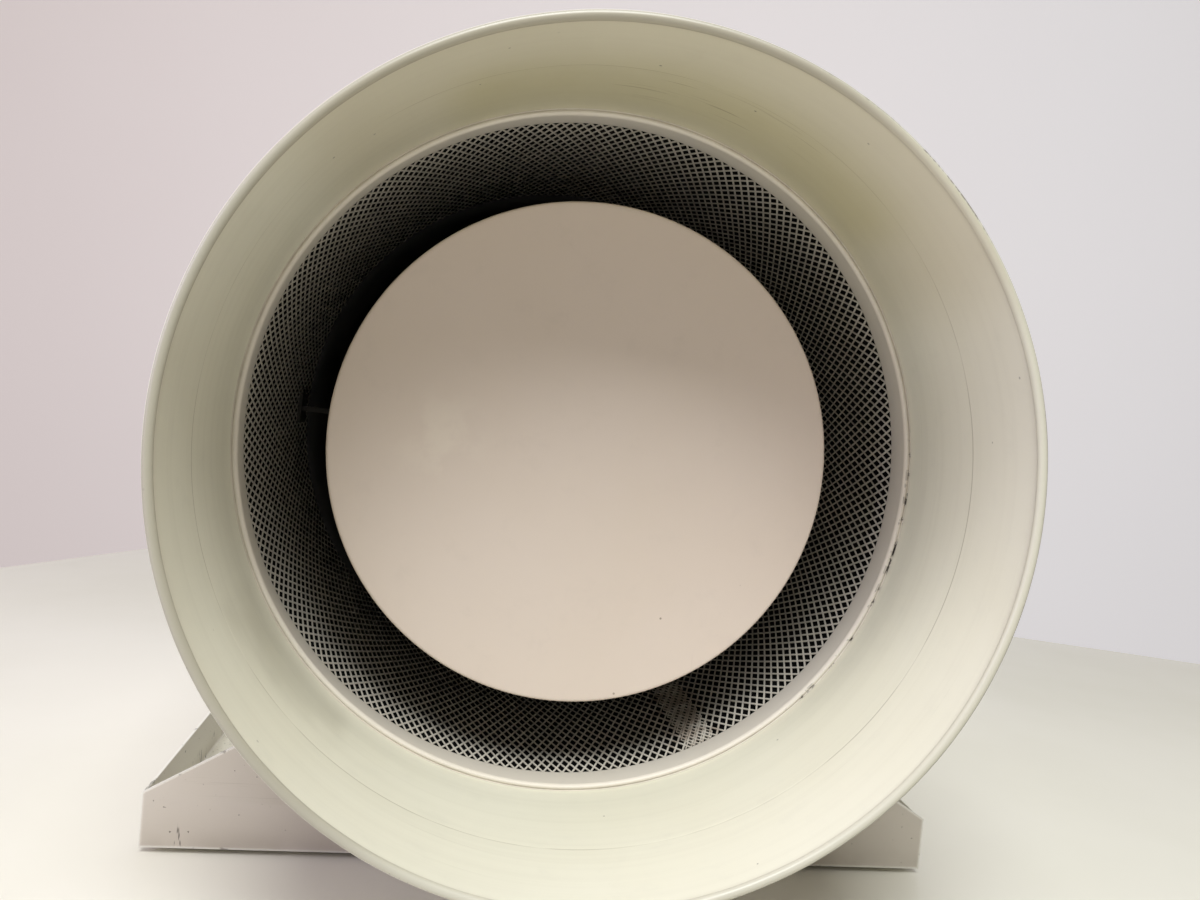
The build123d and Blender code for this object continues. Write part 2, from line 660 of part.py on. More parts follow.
with BuildPart() as bracket_screws:
    for face, inward in ((STAND_FRONT, 1), (STAND_BACK, -1)):
        heads = upright(face) if inward == 1 else upright(face).offset(-2.0)
        with BuildSketch(heads):
            with Locations((-BRACKET_SCREW_X, BRACKET_SCREW_Z), (BRACKET_SCREW_X, BRACKET_SCREW_Z)):
                Circle(3.8)
        extrude(amount=2.0)
        with BuildSketch(upright(face + 8.0 if inward == 1 else face)):
            with Locations((-BRACKET_SCREW_X, BRACKET_SCREW_Z), (BRACKET_SCREW_X, BRACKET_SCREW_Z)):
                Circle(BRACKET_SCREW)
        extrude(amount=8.0)
pieces["bracket_screws"] = bracket_screws

with BuildPart() as tray_rivets:
    for start, length, radius in (
        (FOOT_HEIGHT - 1.2, 1.2, RIVET_HEAD),
        (FOOT_HEIGHT, 2 * STAND_SHEET, RIVET_SHANK),
        (FOOT_HEIGHT + 2 * STAND_SHEET, 1.2, RIVET_HEAD),
    ):
        with BuildSketch(level(start)):
            with Locations([(x, depth) for x in RIVET_X for depth in RIVET_DEPTHS]):
                Circle(radius)
        extrude(amount=length)
pieces["tray_rivets"] = tray_rivets

FOOT_RADIUS = 9.0
with BuildPart() as rubber_feet:
    with BuildSketch(level(0)):
        with Locations((0, STAND_MIDDLE)):
            with GridLocations(2 * FOOT_X, FOOT_SPACING_Y, 2, 2):
                Circle(FOOT_RADIUS)
    extrude(amount=FOOT_HEIGHT)
    with BuildSketch(level(0)):
        with Locations((0, STAND_MIDDLE)):
            with GridLocations(2 * FOOT_X, FOOT_SPACING_Y, 2, 2):
                Circle(4.2)
    extrude(amount=1.8, mode=Mode.SUBTRACT)
    with BuildSketch(level(0)):
        with Locations((0, STAND_MIDDLE)):
            with GridLocations(2 * FOOT_X, FOOT_SPACING_Y, 2, 2):
                Circle(FOOT_SCREW)
    extrude(amount=FOOT_HEIGHT, mode=Mode.SUBTRACT)
pieces["rubber_feet"] = rubber_feet

with BuildPart() as feet_screws:
    for start, length, radius in ((0.6, 1.2, 4.0), (1.8, 6.2, FOOT_SCREW), (TRAY_FLOOR, 2.4, 3.6)):
        with BuildSketch(level(start)):
            with Locations((0, STAND_MIDDLE)):
                with GridLocations(2 * FOOT_X, FOOT_SPACING_Y, 2, 2):
                    Circle(radius)
        extrude(amount=length)
pieces["feet_screws"] = feet_screws

with BuildPart() as switch_body:
    with BuildSketch(upright(STAND_BACK)):
        with Locations((SWITCH_X, SWITCH_Z)):
            Rectangle(SWITCH_WIDTH, SWITCH_HEIGHT)
    extrude(amount=SWITCH_BODY)
    with BuildSketch(upright(STAND_BACK + BEZEL)):
        with Locations((SWITCH_X, SWITCH_Z)):
            Rectangle(SWITCH_WIDTH + 4, SWITCH_HEIGHT + 4)
    extrude(amount=BEZEL)
    with BuildSketch(side_on(SWITCH_X - ROCKER_WIDTH / 2 - 0.4)):
        with Locations((ROCKER_DEPTH, SWITCH_Z)):
            Circle(ROCKER_RADIUS + 0.4)
        with Locations((ROCKER_DEPTH + 5, SWITCH_Z)):
            Rectangle(10, 2 * ROCKER_RADIUS + 0.8)
    extrude(amount=ROCKER_WIDTH + 0.8, mode=Mode.SUBTRACT)
    with BuildSketch(side_on(SWITCH_X - ROCKER_WIDTH / 2 - 2)):
        with Locations((ROCKER_DEPTH, SWITCH_Z)):
            Circle(PIVOT_RADIUS + RUNNING_FIT)
    extrude(amount=ROCKER_WIDTH + 4, mode=Mode.SUBTRACT)
pieces["switch_body"] = switch_body

with BuildPart() as power_rocker:
    with BuildSketch(side_on(SWITCH_X - ROCKER_WIDTH / 2)):
        with Locations(Location((ROCKER_DEPTH, SWITCH_Z), -ROCKER_TILT)):
            Circle(ROCKER_RADIUS)
            with BuildLine():
                rise = ROCKER_RADIUS * tan(radians(ROCKER_TILT))
                Polyline((6, 0), (6 + rise, 10), (12, 10), (12, -10), (6 + rise, -10), close=True)
            make_face(mode=Mode.SUBTRACT)
    extrude(amount=ROCKER_WIDTH)
    with BuildSketch(side_on(SWITCH_X - ROCKER_WIDTH / 2 - 1.8)):
        with Locations((ROCKER_DEPTH, SWITCH_Z)):
            Circle(PIVOT_RADIUS)
    extrude(amount=ROCKER_WIDTH + 3.6)
pieces["power_rocker"] = power_rocker

with BuildPart() as selector_body:
    with BuildSketch(upright(STAND_BACK - STAND_SHEET)):
        with Locations((KNOB_X, KNOB_Z)):
            Rectangle(SELECTOR_SIZE, SELECTOR_SIZE)
            Circle(SELECTOR_SHAFT + RUNNING_FIT, mode=Mode.SUBTRACT)
    extrude(amount=18)
pieces["selector_body"] = selector_body

KNOB_START = STAND_BACK + 1.0
with BuildPart() as selector_shaft:
    with BuildSketch(upright(KNOB_START + 12)):
        with Locations((KNOB_X, KNOB_Z)):
            Circle(SELECTOR_SHAFT)
    extrude(amount=28)
pieces["selector_shaft"] = selector_shaft

with BuildPart() as heat_knob:
    with BuildSketch(upright(KNOB_START + 3)):
        with Locations((KNOB_X, KNOB_Z)):
            Circle(KNOB_RADIUS)
    extrude(amount=3)
    with BuildSketch(upright(KNOB_START + KNOB_LENGTH)):
        with Locations((KNOB_X, KNOB_Z)):
            Circle(KNOB_RADIUS - 2.5)
            with PolarLocations(KNOB_RADIUS - 2.5, 18):
                Circle(1.0, mode=Mode.SUBTRACT)
    extrude(amount=KNOB_LENGTH - 3)
    with BuildSketch(upright(KNOB_START + KNOB_LENGTH + 1.2)):
        with Locations((KNOB_X, KNOB_Z + 5)):
            Rectangle(2, 9)
    extrude(amount=1.2)
    with BuildSketch(upright(KNOB_START + 12)):
        with Locations((KNOB_X, KNOB_Z)):
            Circle(SELECTOR_SHAFT)
    extrude(amount=12, mode=Mode.SUBTRACT)
pieces["heat_knob"] = heat_knob

with BuildPart() as inlet_socket:
    with BuildSketch(upright(STAND_BACK)):
        with Locations((INLET_X, INLET_Z)):
            Rectangle(INLET_WIDTH, INLET_HEIGHT)
    extrude(amount=24)
    with BuildSketch(upright(STAND_BACK + BEZEL)):
        with Locations((INLET_X, INLET_Z)):
            Rectangle(INLET_WIDTH + 4, INLET_HEIGHT + 4)
    extrude(amount=BEZEL)
    with BuildSketch(upright(STAND_BACK + BEZEL)):
        with Locations((INLET_X, INLET_Z)):
            Rectangle(INLET_WIDTH - 4, INLET_HEIGHT - 4)
            with Locations((-7, 0), (0, 2), (7, 0)):
                Rectangle(2, 4, mode=Mode.SUBTRACT)
    extrude(amount=17, mode=Mode.SUBTRACT)
pieces["inlet_socket"] = inlet_socket


def box_cover(x, z, width, height, depth):
    """A sheet cover behind the rear saddle, open towards the panel, with walls 1.2 thick."""
    with BuildPart() as piece:
        with BuildSketch(upright(STAND_BACK - STAND_SHEET)):
            with Locations((x, z)):
                Rectangle(width, height)
        extrude(amount=depth)
        with BuildSketch(upright(STAND_BACK - STAND_SHEET)):
            with Locations((x, z)):
                Rectangle(width - 2 * SHEET, height - 2 * SHEET)
        extrude(amount=depth - SHEET, mode=Mode.SUBTRACT)
    return piece


# The covers stand on the saddle's tab.
COVER_BOTTOM = TRAY_FLOOR + STAND_SHEET
COVER_TOP = 50.0
COVER_HEIGHT = COVER_TOP - COVER_BOTTOM
COVER_DEPTH = 44.0
WIRING_LEFT = 92.0
WIRING_RIGHT = 170.0
CONDUIT_RADIUS = 5.0
CONDUIT_TOP = 84.0

with BuildPart() as wiring_box:
    add(
        box_cover(
            (WIRING_LEFT + WIRING_RIGHT) / 2,
            (COVER_BOTTOM + COVER_TOP) / 2,
            WIRING_RIGHT - WIRING_LEFT,
            COVER_HEIGHT,
            COVER_DEPTH,
        ).part
    )
    with BuildSketch(level(COVER_TOP - 5)):
        with Locations((CONDUIT_X, CONDUIT_DEPTH)):
            Circle(CONDUIT_RADIUS)
    extrude(amount=10, mode=Mode.SUBTRACT)
pieces["wiring_box"] = wiring_box
pieces["inlet_cover"] = box_cover(INLET_X, (COVER_BOTTOM + 44) / 2, 44, 44 - COVER_BOTTOM, 34)

with BuildPart() as lead_conduit:
    with BuildSketch(level(COVER_TOP - SHEET)):
        with Locations((CONDUIT_X, CONDUIT_DEPTH)):
            Circle(CONDUIT_RADIUS)
            Circle(CONDUIT_RADIUS - 1, mode=Mode.SUBTRACT)
    extrude(amount=CONDUIT_TOP - COVER_TOP + SHEET)
pieces["lead_conduit"] = lead_conduit

with BuildPart() as lead_grommet:
    with BuildSketch(level(60)):
        with Locations((CONDUIT_X, CONDUIT_DEPTH)):
            Circle(GROMMET_RADIUS)
            Circle(CONDUIT_RADIUS, mode=Mode.SUBTRACT)
    extrude(amount=20)
pieces["lead_grommet"] = lead_grommet

with BuildPart() as terminal_block:
    with BuildSketch(level(COVER_BOTTOM + SHEET)):
        with Locations((WIRING_LEFT + 24, 345)):
            Rectangle(34, 14)
    extrude(amount=8)
    with BuildSketch(level(COVER_BOTTOM + SHEET + 8)):
        with Locations((WIRING_LEFT + 24, 345)):
            Rectangle(34, 8)
            with GridLocations(11, 1, 3, 1):
                Circle(2, mode=Mode.SUBTRACT)
    extrude(amount=4)
pieces["terminal_block"] = terminal_block

for label, piece in pieces.items():
    piece.part.label = label
    export_step(piece.part, f"parts/{label}.step")
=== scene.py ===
"""Looks of the table-top dryer head: painted drum, deflector disc, mesh sleeve and saddle stand."""

import math

import bmesh
import bpy
from mathutils import Matrix, Vector, noise


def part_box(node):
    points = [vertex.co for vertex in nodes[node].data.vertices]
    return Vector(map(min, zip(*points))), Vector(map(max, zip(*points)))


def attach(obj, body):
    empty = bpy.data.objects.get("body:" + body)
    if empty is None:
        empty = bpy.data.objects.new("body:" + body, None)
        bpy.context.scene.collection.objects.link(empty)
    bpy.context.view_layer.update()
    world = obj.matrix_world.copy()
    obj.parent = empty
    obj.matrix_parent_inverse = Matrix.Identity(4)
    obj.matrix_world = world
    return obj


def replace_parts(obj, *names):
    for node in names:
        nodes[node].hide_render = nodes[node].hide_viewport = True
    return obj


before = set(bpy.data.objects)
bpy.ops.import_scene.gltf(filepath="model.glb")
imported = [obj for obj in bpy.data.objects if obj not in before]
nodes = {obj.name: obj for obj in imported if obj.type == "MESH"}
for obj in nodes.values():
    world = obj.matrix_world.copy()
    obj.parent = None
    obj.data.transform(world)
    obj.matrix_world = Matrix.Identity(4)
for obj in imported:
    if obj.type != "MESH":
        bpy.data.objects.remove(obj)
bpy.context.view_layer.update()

# ---- the frame's own places and sizes, in metres ----
MM = 0.001


def tenth_mm(length):
    """A length in metres rounded to a tenth of a millimetre."""
    return round(length, 4)


drum_low, drum_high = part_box("drum_casing")
RIM_Y = tenth_mm(drum_low.y)
AXIS_Z = tenth_mm((drum_low.z + drum_high.z) / 2)
RIM_RADIUS = round((drum_high.x - drum_low.x) / 2, 3)
DRUM_END = tenth_mm(drum_high.y) - RIM_Y
ROLL = 2.0 * MM  # radius of the drum's rolled edge
SHEET = 1.2 * MM  # thickness of the drum's and the disc's sheet
WALL = RIM_RADIUS - ROLL  # the drum's inner radius
OUTER_WALL = WALL + SHEET


def depth_range(node):
    """The first and last depth of a node behind the rim."""
    low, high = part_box(node)
    return tenth_mm(low.y) - RIM_Y, tenth_mm(high.y) - RIM_Y


COLLAR_FRONT, SLEEVE_FRONT = depth_range("inner_collar")
SLEEVE_BACK = depth_range("mesh_sleeve")[1]
BEAD = 1.5 * MM  # radius of the collar's bead, which is longer in depth by the stretch
BEAD_STRETCH = 1.45
BEAD_DEPTH = COLLAR_FRONT + BEAD * BEAD_STRETCH
SLEEVE_RADIUS = WALL - 1.4 * MM
CREASE_DEPTH = 56 * MM

SEGMENTS = 480  # steps round the drum
SHARP = 35  # degrees; a sharper edge isn't smoothed
WELD = 1e-6


def place(radius, angle, depth):
    """A point from its radius, its angle from the right and its depth behind the rim."""
    return Vector((radius * math.cos(angle), RIM_Y + depth, AXIS_Z + radius * math.sin(angle)))


# ---- mesh helpers ----
def smooth(mesh, sharp):
    """Smooth shading with edges sharper than an angle in degrees kept sharp."""
    mesh.polygons.foreach_set("use_smooth", [True] * len(mesh.polygons))
    mesh.set_sharp_from_angle(angle=math.radians(sharp))


def add_object(name, mesh):
    """A new object in the scene."""
    made = bpy.data.objects.new(name, mesh)
    bpy.context.scene.collection.objects.link(made)
    return made


def piece_from(name, verts, faces, body="dryer", sharp=SHARP, weld=WELD):
    """A smooth-shaded piece with outward normals that rides on a body."""
    mesh = bpy.data.meshes.new(name)
    mesh.from_pydata(verts, [], faces)
    shape = bmesh.new()
    shape.from_mesh(mesh)
    bmesh.ops.remove_doubles(shape, verts=shape.verts, dist=weld)
    bmesh.ops.dissolve_degenerate(shape, edges=shape.edges, dist=weld)
    bmesh.ops.recalc_face_normals(shape, faces=shape.faces)
    shape.to_mesh(mesh)
    shape.free()
    smooth(mesh, sharp)
    piece = add_object(name, mesh)
    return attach(piece, body)


def arc(radius, depth, size, first, last, steps, stretch=1.0):
    """Points of an arc about (radius, depth), between two angles in degrees.

    90 degrees points away from the rim, and stretch makes the arc longer in depth.
    """
    turn = [math.radians(first + (last - first) * i / steps) for i in range(steps + 1)]
    return [(radius + size * math.cos(a), depth + stretch * size * math.sin(a)) for a in turn]


def straight(radius, start, end, steps):
    """Points at one radius from a depth to another, close together at both ends.

    The close ones keep the shading of the wall flat up to the bend.
    """
    hold = math.copysign(0.5 * MM, end - start)
    span = end - start - 2 * hold
    return [(radius, start + hold + span * i / steps) for i in range(steps + 1)]


def lathe(name, profile, body="dryer", segments=SEGMENTS, shift=None):
    """Revolves a closed outline of (radius, depth) points; shift moves each point's radius."""
    verts, faces, count = [], [], len(profile)
    for i in range(segments):
        angle = 2 * math.pi * i / segments
        for radius, depth in profile:
            if shift:
                radius += shift(radius, angle, depth)
            verts.append(place(radius, angle, depth))
        j = (i + 1) % segments
        for k in range(count):
            m = (k + 1) % count
            faces.append((i * count + k, j * count + k, j * count + m, i * count + m))
    return piece_from(name, verts, faces, body)


def apply_modifiers(piece):
    """Puts the result of a piece's modifiers in its mesh."""
    graph = bpy.context.evaluated_depsgraph_get()
    mesh = bpy.data.meshes.new_from_object(piece.evaluated_get(graph))
    piece.modifiers.clear()
    piece.data = mesh


def round_edges(piece, width, angle):
    """Bevels the edges sharper than an angle in degrees."""
    bevel = piece.modifiers.new("edges", "BEVEL")
    bevel.width = width
    bevel.segments = 2
    bevel.limit_method = "ANGLE"
    bevel.angle_limit = math.radians(angle)
    apply_modifiers(piece)


def softened(node, name, edge, body="dryer"):
    """A copy of a CAD node with its edges rounded, which stands for the node."""
    mesh = nodes[node].data.copy()
    mesh.materials.clear()
    shape = bmesh.new()
    shape.from_mesh(mesh)
    bmesh.ops.remove_doubles(shape, verts=shape.verts, dist=WELD)
    bmesh.ops.dissolve_limit(
        shape, angle_limit=math.radians(1), verts=shape.verts, edges=shape.edges
    )
    bmesh.ops.recalc_face_normals(shape, faces=shape.faces)
    shape.to_mesh(mesh)
    shape.free()
    piece = add_object(name, mesh)
    round_edges(piece, edge, 40)
    smooth(piece.data, 30)
    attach(piece, body)
    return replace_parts(piece, node)


# ---- materials ----
def srgb(red, green, blue):
    """A linear colour from display values out of 255."""
    return tuple(((v / 255 + 0.055) / 1.055) ** 2.4 for v in (red, green, blue)) + (1.0,)


CREAM = srgb(228, 226, 211)
SHELL_PINK = srgb(217, 203, 195)
# bare steel where paint is chipped, also used for a painted shade line on the rim
BARE_STEEL_AND_RIM_SHADE = srgb(74, 62, 52)
CHIP_DARK = srgb(52, 44, 38)


class Finish:
    """A procedural material: a Principled shader, its base colour so far, and their nodes."""

    def __init__(self, name, **sockets):
        self.material = bpy.data.materials.new(name)
        self.material.use_nodes = True
        self.tree = self.material.node_tree
        self.shader = self.tree.nodes["Principled BSDF"]
        self.here = self.node("ShaderNodeTexCoord").outputs["Object"]
        self.colour = None
        self.normal = None
        for socket, value in sockets.items():
            self.shader.inputs[socket.replace("_", " ")].default_value = value

    def node(self, kind, inputs=None, **settings):
        """A new node with its settings and inputs."""
        made = self.tree.nodes.new(kind)
        for key, value in settings.items():
            setattr(made, key, value)
        for socket, value in (inputs or {}).items():
            self.feed(made.inputs[socket], value)
        return made

    def feed(self, socket, value):
        """Links a socket to another node's, or sets it to a plain value."""
        if isinstance(value, bpy.types.NodeSocket):
            self.tree.links.new(value, socket)
        else:
            socket.default_value = value

    def set(self, socket, value):
        """Feeds one of the shader's own sockets."""
        self.feed(self.shader.inputs[socket], value)

    def math(self, operation, a, b=0.0, c=0.0):
        """The result of a Math node."""
        return self.node("ShaderNodeMath", {0: a, 1: b, 2: c}, operation=operation).outputs[0]

    def times(self, first, *rest):
        """The product of all the values."""
        for other in rest:
            first = self.math("MULTIPLY", first, other)
        return first

    def spread(self, value, amount, start):
        """A start plus an amount of a pattern, as for an uneven roughness."""
        return self.math("MULTIPLY_ADD", value, amount, start)

    def noise(self, scale, detail=3.0, stretch=(1, 1, 1), seed=0.0, rough=0.5):
        """Noise over the piece, moved by a seed."""
        mapping = {"Vector": self.here, "Scale": stretch, "Location": (seed, seed, seed)}
        moved = self.node("ShaderNodeMapping", mapping).outputs[0]
        inputs = {"Vector": moved, "Scale": scale, "Detail": detail, "Roughness": rough}
        return self.node("ShaderNodeTexNoise", inputs).outputs[0]

    def cells(self, scale):
        """Distance to the nearest of a set of scattered points."""
        inputs = {"Vector": self.here, "Scale": scale}
        return self.node("ShaderNodeTexVoronoi", inputs).outputs["Distance"]

    def ease(self, value, low, high):
        """0 below low and 1 above high, or the other way round where low is the larger."""
        inputs = {"Value": value, "From Min": low, "From Max": high}
        made = self.node("ShaderNodeMapRange", inputs, interpolation_type="SMOOTHSTEP")
        return made.outputs[0]

    def spots(self, low, high, *args, **settings):
        """Patches of noise, eased between two of its levels."""
        return self.ease(self.noise(*args, **settings), low, high)

    def mix(self, share, a, b):
        """A colour between two others."""
        made = self.node("ShaderNodeMix", data_type="RGBA")
        for index, value in ((0, share), (6, a), (7, b)):
            self.feed(made.inputs[index], value)
        return made.outputs[2]

    def tint(self, colour, *shares):
        """Lays a colour over the base colour so far, by the product of its shares."""
        self.colour = self.mix(self.times(*shares), self.colour, colour)

    def painted(self):
        """The material, with the colour so far as its base colour."""
        self.set("Base Color", self.colour)
        return self.material

    def bump(self, height, distance, strength):
        """Adds a bump on top of those before it."""
        inputs = {"Height": height, "Distance": distance, "Strength": strength}
        if self.normal is not None:
            inputs["Normal"] = self.normal
        self.normal = self.node("ShaderNodeBump", inputs).outputs[0]
        self.set("Normal", self.normal)

    def on_drum(self):
        """Depth behind the rim, radius, and x and z from the axis, as sockets."""
        parts = self.node("ShaderNodeSeparateXYZ", {0: self.here})
        across = parts.outputs[0]
        depth = self.math("SUBTRACT", parts.outputs[1], RIM_Y)
        up = self.math("SUBTRACT", parts.outputs[2], AXIS_Z)
        return depth, self.distance(across, up), across, up

    def distance(self, across, up):
        """The length of a line with these two parts."""
        square = self.math("ADD", self.times(across, across), self.times(up, up))
        return self.math("SQRT", square)

    def sector(self, drum, degrees, half):
        """1 in a sector of the drum about an angle from the right, fading at its ends."""
        angle = math.radians(degrees)
        _, radius, across, up = drum
        parts = self.times(across, math.cos(angle)), self.times(up, math.sin(angle))
        cosine = self.math("DIVIDE", self.math("ADD", *parts), radius)
        edge = math.cos(math.radians(half))
        inner = math.cos(math.radians(half * 0.75))
        return self.ease(cosine, edge, inner)

    def band(self, value, low, high, fade):
        """1 between two values."""
        rise = self.ease(value, low - fade, low + fade)
        fall = self.ease(value, high + fade, high - fade)
        return self.times(rise, fall)

    def edges(self, radius, low, high):
        """1 on convex edges and corners, within a radius."""
        rounded = self.node("ShaderNodeBevel", {"Radius": radius}, samples=4).outputs[0]
        flat = self.node("ShaderNodeNewGeometry").outputs["Normal"]
        dot = self.node("ShaderNodeVectorMath", {0: rounded, 1: flat}, operation="DOT_PRODUCT")
        return self.ease(dot.outputs["Value"], high, low)


def enamel(name, colour, roughness, seed=0.0):
    """Aged spray enamel with warm clouds, grime and a fine grain."""
    paint = Finish(name, Coat_Weight=0.08, Coat_Roughness=0.25)
    warm = tuple(c * k for c, k in zip(colour, (0.94, 0.92, 0.86))) + (1.0,)
    dusty = tuple(c * 0.88 for c in colour[:3]) + (1.0,)
    paint.colour = colour
    paint.tint(warm, paint.spots(0.35, 0.75, 7.0, 4.0, seed=seed), 0.45)
    paint.tint(dusty, paint.spots(0.52, 0.8, 60.0, 6.0, seed=seed + 3, rough=0.65), 0.35)
    uneven = paint.noise(18.0, 5.0, seed=seed + 7)
    paint.set("Roughness", paint.spread(uneven, 0.22, roughness - 0.1))
    paint.bump(paint.noise(900.0, 2.0, seed=seed), 0.00003, 0.5)
    paint.bump(paint.noise(26.0, 2.0, seed=seed + 1), 0.00035, 0.35)
    return paint


def drum_paint():
    """The drum's enamel, with its scratches, stains and chipped rim, painted shade on its crease,
    top, bead and rim, and a painted highlight on the rim.
    """
    paint = enamel("drum_enamel", CREAM, 0.36)
    drum = paint.on_drum()
    depth, radius = drum[:2]
    inside = paint.ease(radius, WALL + 0.6 * MM, WALL + 0.3 * MM)

    # soft streaks and fine scratches that run round the wall
    streaks = paint.spots(0.40, 0.70, 1.0, 3.0, stretch=(3, 190, 3), seed=3)
    paint.tint(srgb(176, 170, 154), streaks, 0.07)
    lines = paint.spots(0.70, 0.78, 1.0, 2.0, stretch=(7, 1500, 7), seed=5)
    scratches = paint.times(lines, paint.spots(0.50, 0.62, 11.0, 2.0, seed=9))
    paint.tint(srgb(150, 142, 122), scratches, 0.30)

    # painted shade along the crease round the tube, in uneven patches
    half_width, fade = 0.35 * MM, 0.25 * MM
    crease = paint.band(depth, CREASE_DEPTH - half_width, CREASE_DEPTH + half_width, fade)
    light_and_wear = paint.spots(0.3, 0.6, 22.0, 3.0, seed=13)
    paint.tint(srgb(140, 132, 112), crease, inside, light_and_wear, 0.55)

    # painted shade at the top of the inside, yellow-toned, and a yellow-green stain there
    paint.tint(srgb(196, 186, 158), paint.sector(drum, 84, 62), inside, 0.42)
    blot = paint.spots(0.38, 0.68, 14.0, 4.0, seed=21)
    stained = paint.band(depth, 0.05, 0.12, 0.03)
    strength = paint.spread(blot, 0.1, 0.36)
    paint.tint(srgb(192, 184, 134), paint.sector(drum, 80, 42), stained, inside, strength)

    # a grey stain at the lower left, and scuffs near the crease at the top
    stained = paint.band(depth, 0.06, 0.112, 0.015)
    paint.tint(srgb(178, 174, 156), paint.sector(drum, 218, 16), stained, inside, blot, 0.4)
    scuffs = paint.spots(0.60, 0.72, 1.0, 3.0, stretch=(26, 500, 26), seed=33)
    scuffed = paint.band(depth, 0.06, 0.09, 0.008)
    paint.tint(srgb(150, 138, 104), paint.sector(drum, 76, 18), scuffed, inside, scuffs, 0.6)

    # painted shade where the wall meets the bead
    bead_corner_shade = paint.band(depth, BEAD_DEPTH - 2.6 * MM, BEAD_DEPTH, 0.8 * MM)
    paint.tint(srgb(132, 122, 104), bead_corner_shade, inside, 0.30)

    # the rolled rim: painted shade in front, darker at the upper left, and a painted highlight
    # round its outer edge
    front = paint.ease(depth, 3.6 * MM, 3.0 * MM)
    before_outside = paint.ease(radius, WALL + 1.7 * MM, WALL + 1.45 * MM)
    rim_shade = paint.ease(depth, 9 * MM, 1 * MM)
    rim_shade_share = paint.spread(paint.sector(drum, 150, 105), 0.34, 0.36)
    paint.tint(srgb(140, 133, 118), before_outside, rim_shade, rim_shade_share)
    # painted highlight along the rim's outer edge
    rim_edge_highlight = paint.ease(radius, WALL + 1.45 * MM, WALL + 1.65 * MM)
    paint.tint(srgb(244, 243, 236), rim_edge_highlight, front, 0.3)

    # fine chips round the rim, most of them at the upper right, and a broken dark line at the lower
    # right, painted shade of the drum's outer wall
    outer_side = paint.ease(radius, WALL + 0.5 * MM, WALL + 0.9 * MM)
    flakes = paint.noise(620.0, 4.0, seed=41, rough=0.7)
    clusters = paint.spots(0.42, 0.56, 48.0, 2.0, seed=42)
    many = paint.times(paint.sector(drum, 53, 17), clusters, paint.ease(flakes, 0.46, 0.54))
    few = paint.times(paint.ease(flakes, 0.66, 0.69), 0.8)
    chips = paint.times(outer_side, front, paint.math("MAXIMUM", many, few))
    paint.tint(BARE_STEEL_AND_RIM_SHADE, chips, 0.7)
    line = paint.ease(radius, WALL + 1.1 * MM, WALL + 1.3 * MM)
    broken = paint.spots(0.32, 0.44, 60.0, 4.0, seed=44)
    paint.tint(BARE_STEEL_AND_RIM_SHADE, line, paint.sector(drum, -22, 42), broken, front, 0.85)

    # small specks
    specks = paint.ease(paint.cells(70.0), 0.050, 0.030)
    paint.tint(CHIP_DARK, specks, paint.spots(0.5, 0.6, 9.0, 1.0, seed=50), 0.7)
    paint.bump(paint.math("SUBTRACT", 1.0, chips), 0.00008, 0.6)
    paint.bump(scratches, -0.00004, 0.6)
    return paint.painted()


def collar_paint():
    """The collar's enamel, chipped along the outer side of its bead at the lower right."""
    paint = enamel("collar_enamel", srgb(226, 219, 210), 0.5, seed=60)
    drum = paint.on_drum()
    depth, radius = drum[:2]
    bead_front = paint.band(depth, BEAD_DEPTH - 2.1 * MM, BEAD_DEPTH - 0.9 * MM, 0.2 * MM)
    bead_side = paint.ease(radius, WALL - 2.4 * MM, WALL - 1.7 * MM)
    front = paint.times(bead_front, bead_side)
    flakes = paint.spots(0.54, 0.59, 1.0, 4.0, stretch=(150, 420, 150), seed=64, rough=0.65)
    chips = paint.times(front, flakes, paint.sector(drum, -20, 31))
    paint.tint(CHIP_DARK, chips)
    # darker patches on the bead's outer side by the wall: painted shade, and scuffed paint
    rubbed_and_shaded = paint.spots(0.35, 0.75, 48.0, 3.0, seed=66)
    paint.tint(srgb(150, 142, 126), front, rubbed_and_shaded, 0.22)
    # darker towards the back edge of the band, where the mesh begins
    toward_mesh = paint.ease(depth, SLEEVE_FRONT - 3 * MM, SLEEVE_FRONT)
    paint.tint(srgb(150, 144, 128), toward_mesh, 0.12)
    paint.bump(paint.math("SUBTRACT", 1.0, chips), 0.0001, 0.7)
    return paint.painted()


def disc_paint():
    """The disc's enamel, with a wiped patch left of its middle, specks and fine scratches."""
    paint = enamel("disc_enamel", SHELL_PINK, 0.34, seed=80)
    _, radius, across, up = paint.on_drum()
    from_patch = paint.distance(
        paint.math("ADD", across, 0.071), paint.math("SUBTRACT", up, 0.003)
    )
    wiped = paint.spots(0.4, 0.62, 60.0, 5.0, seed=83)
    paint.tint(srgb(236, 226, 214), paint.ease(from_patch, 0.032, 0.004), wiped, 0.32)
    specks = paint.ease(paint.cells(42.0), 0.030, 0.018)
    sparse = paint.spots(0.56, 0.60, 13.0, 1.0, seed=86)
    paint.tint(srgb(120, 104, 90), specks, sparse, 0.75)
    paint.tint(srgb(176, 162, 146), paint.ease(radius, 0.1235, 0.1262), 0.18)
    hair = paint.spots(0.74, 0.79, 1.0, 2.0, stretch=(240, 1, 16), seed=90)
    paint.tint(srgb(170, 156, 142), hair, 0.10)
    return paint.painted()


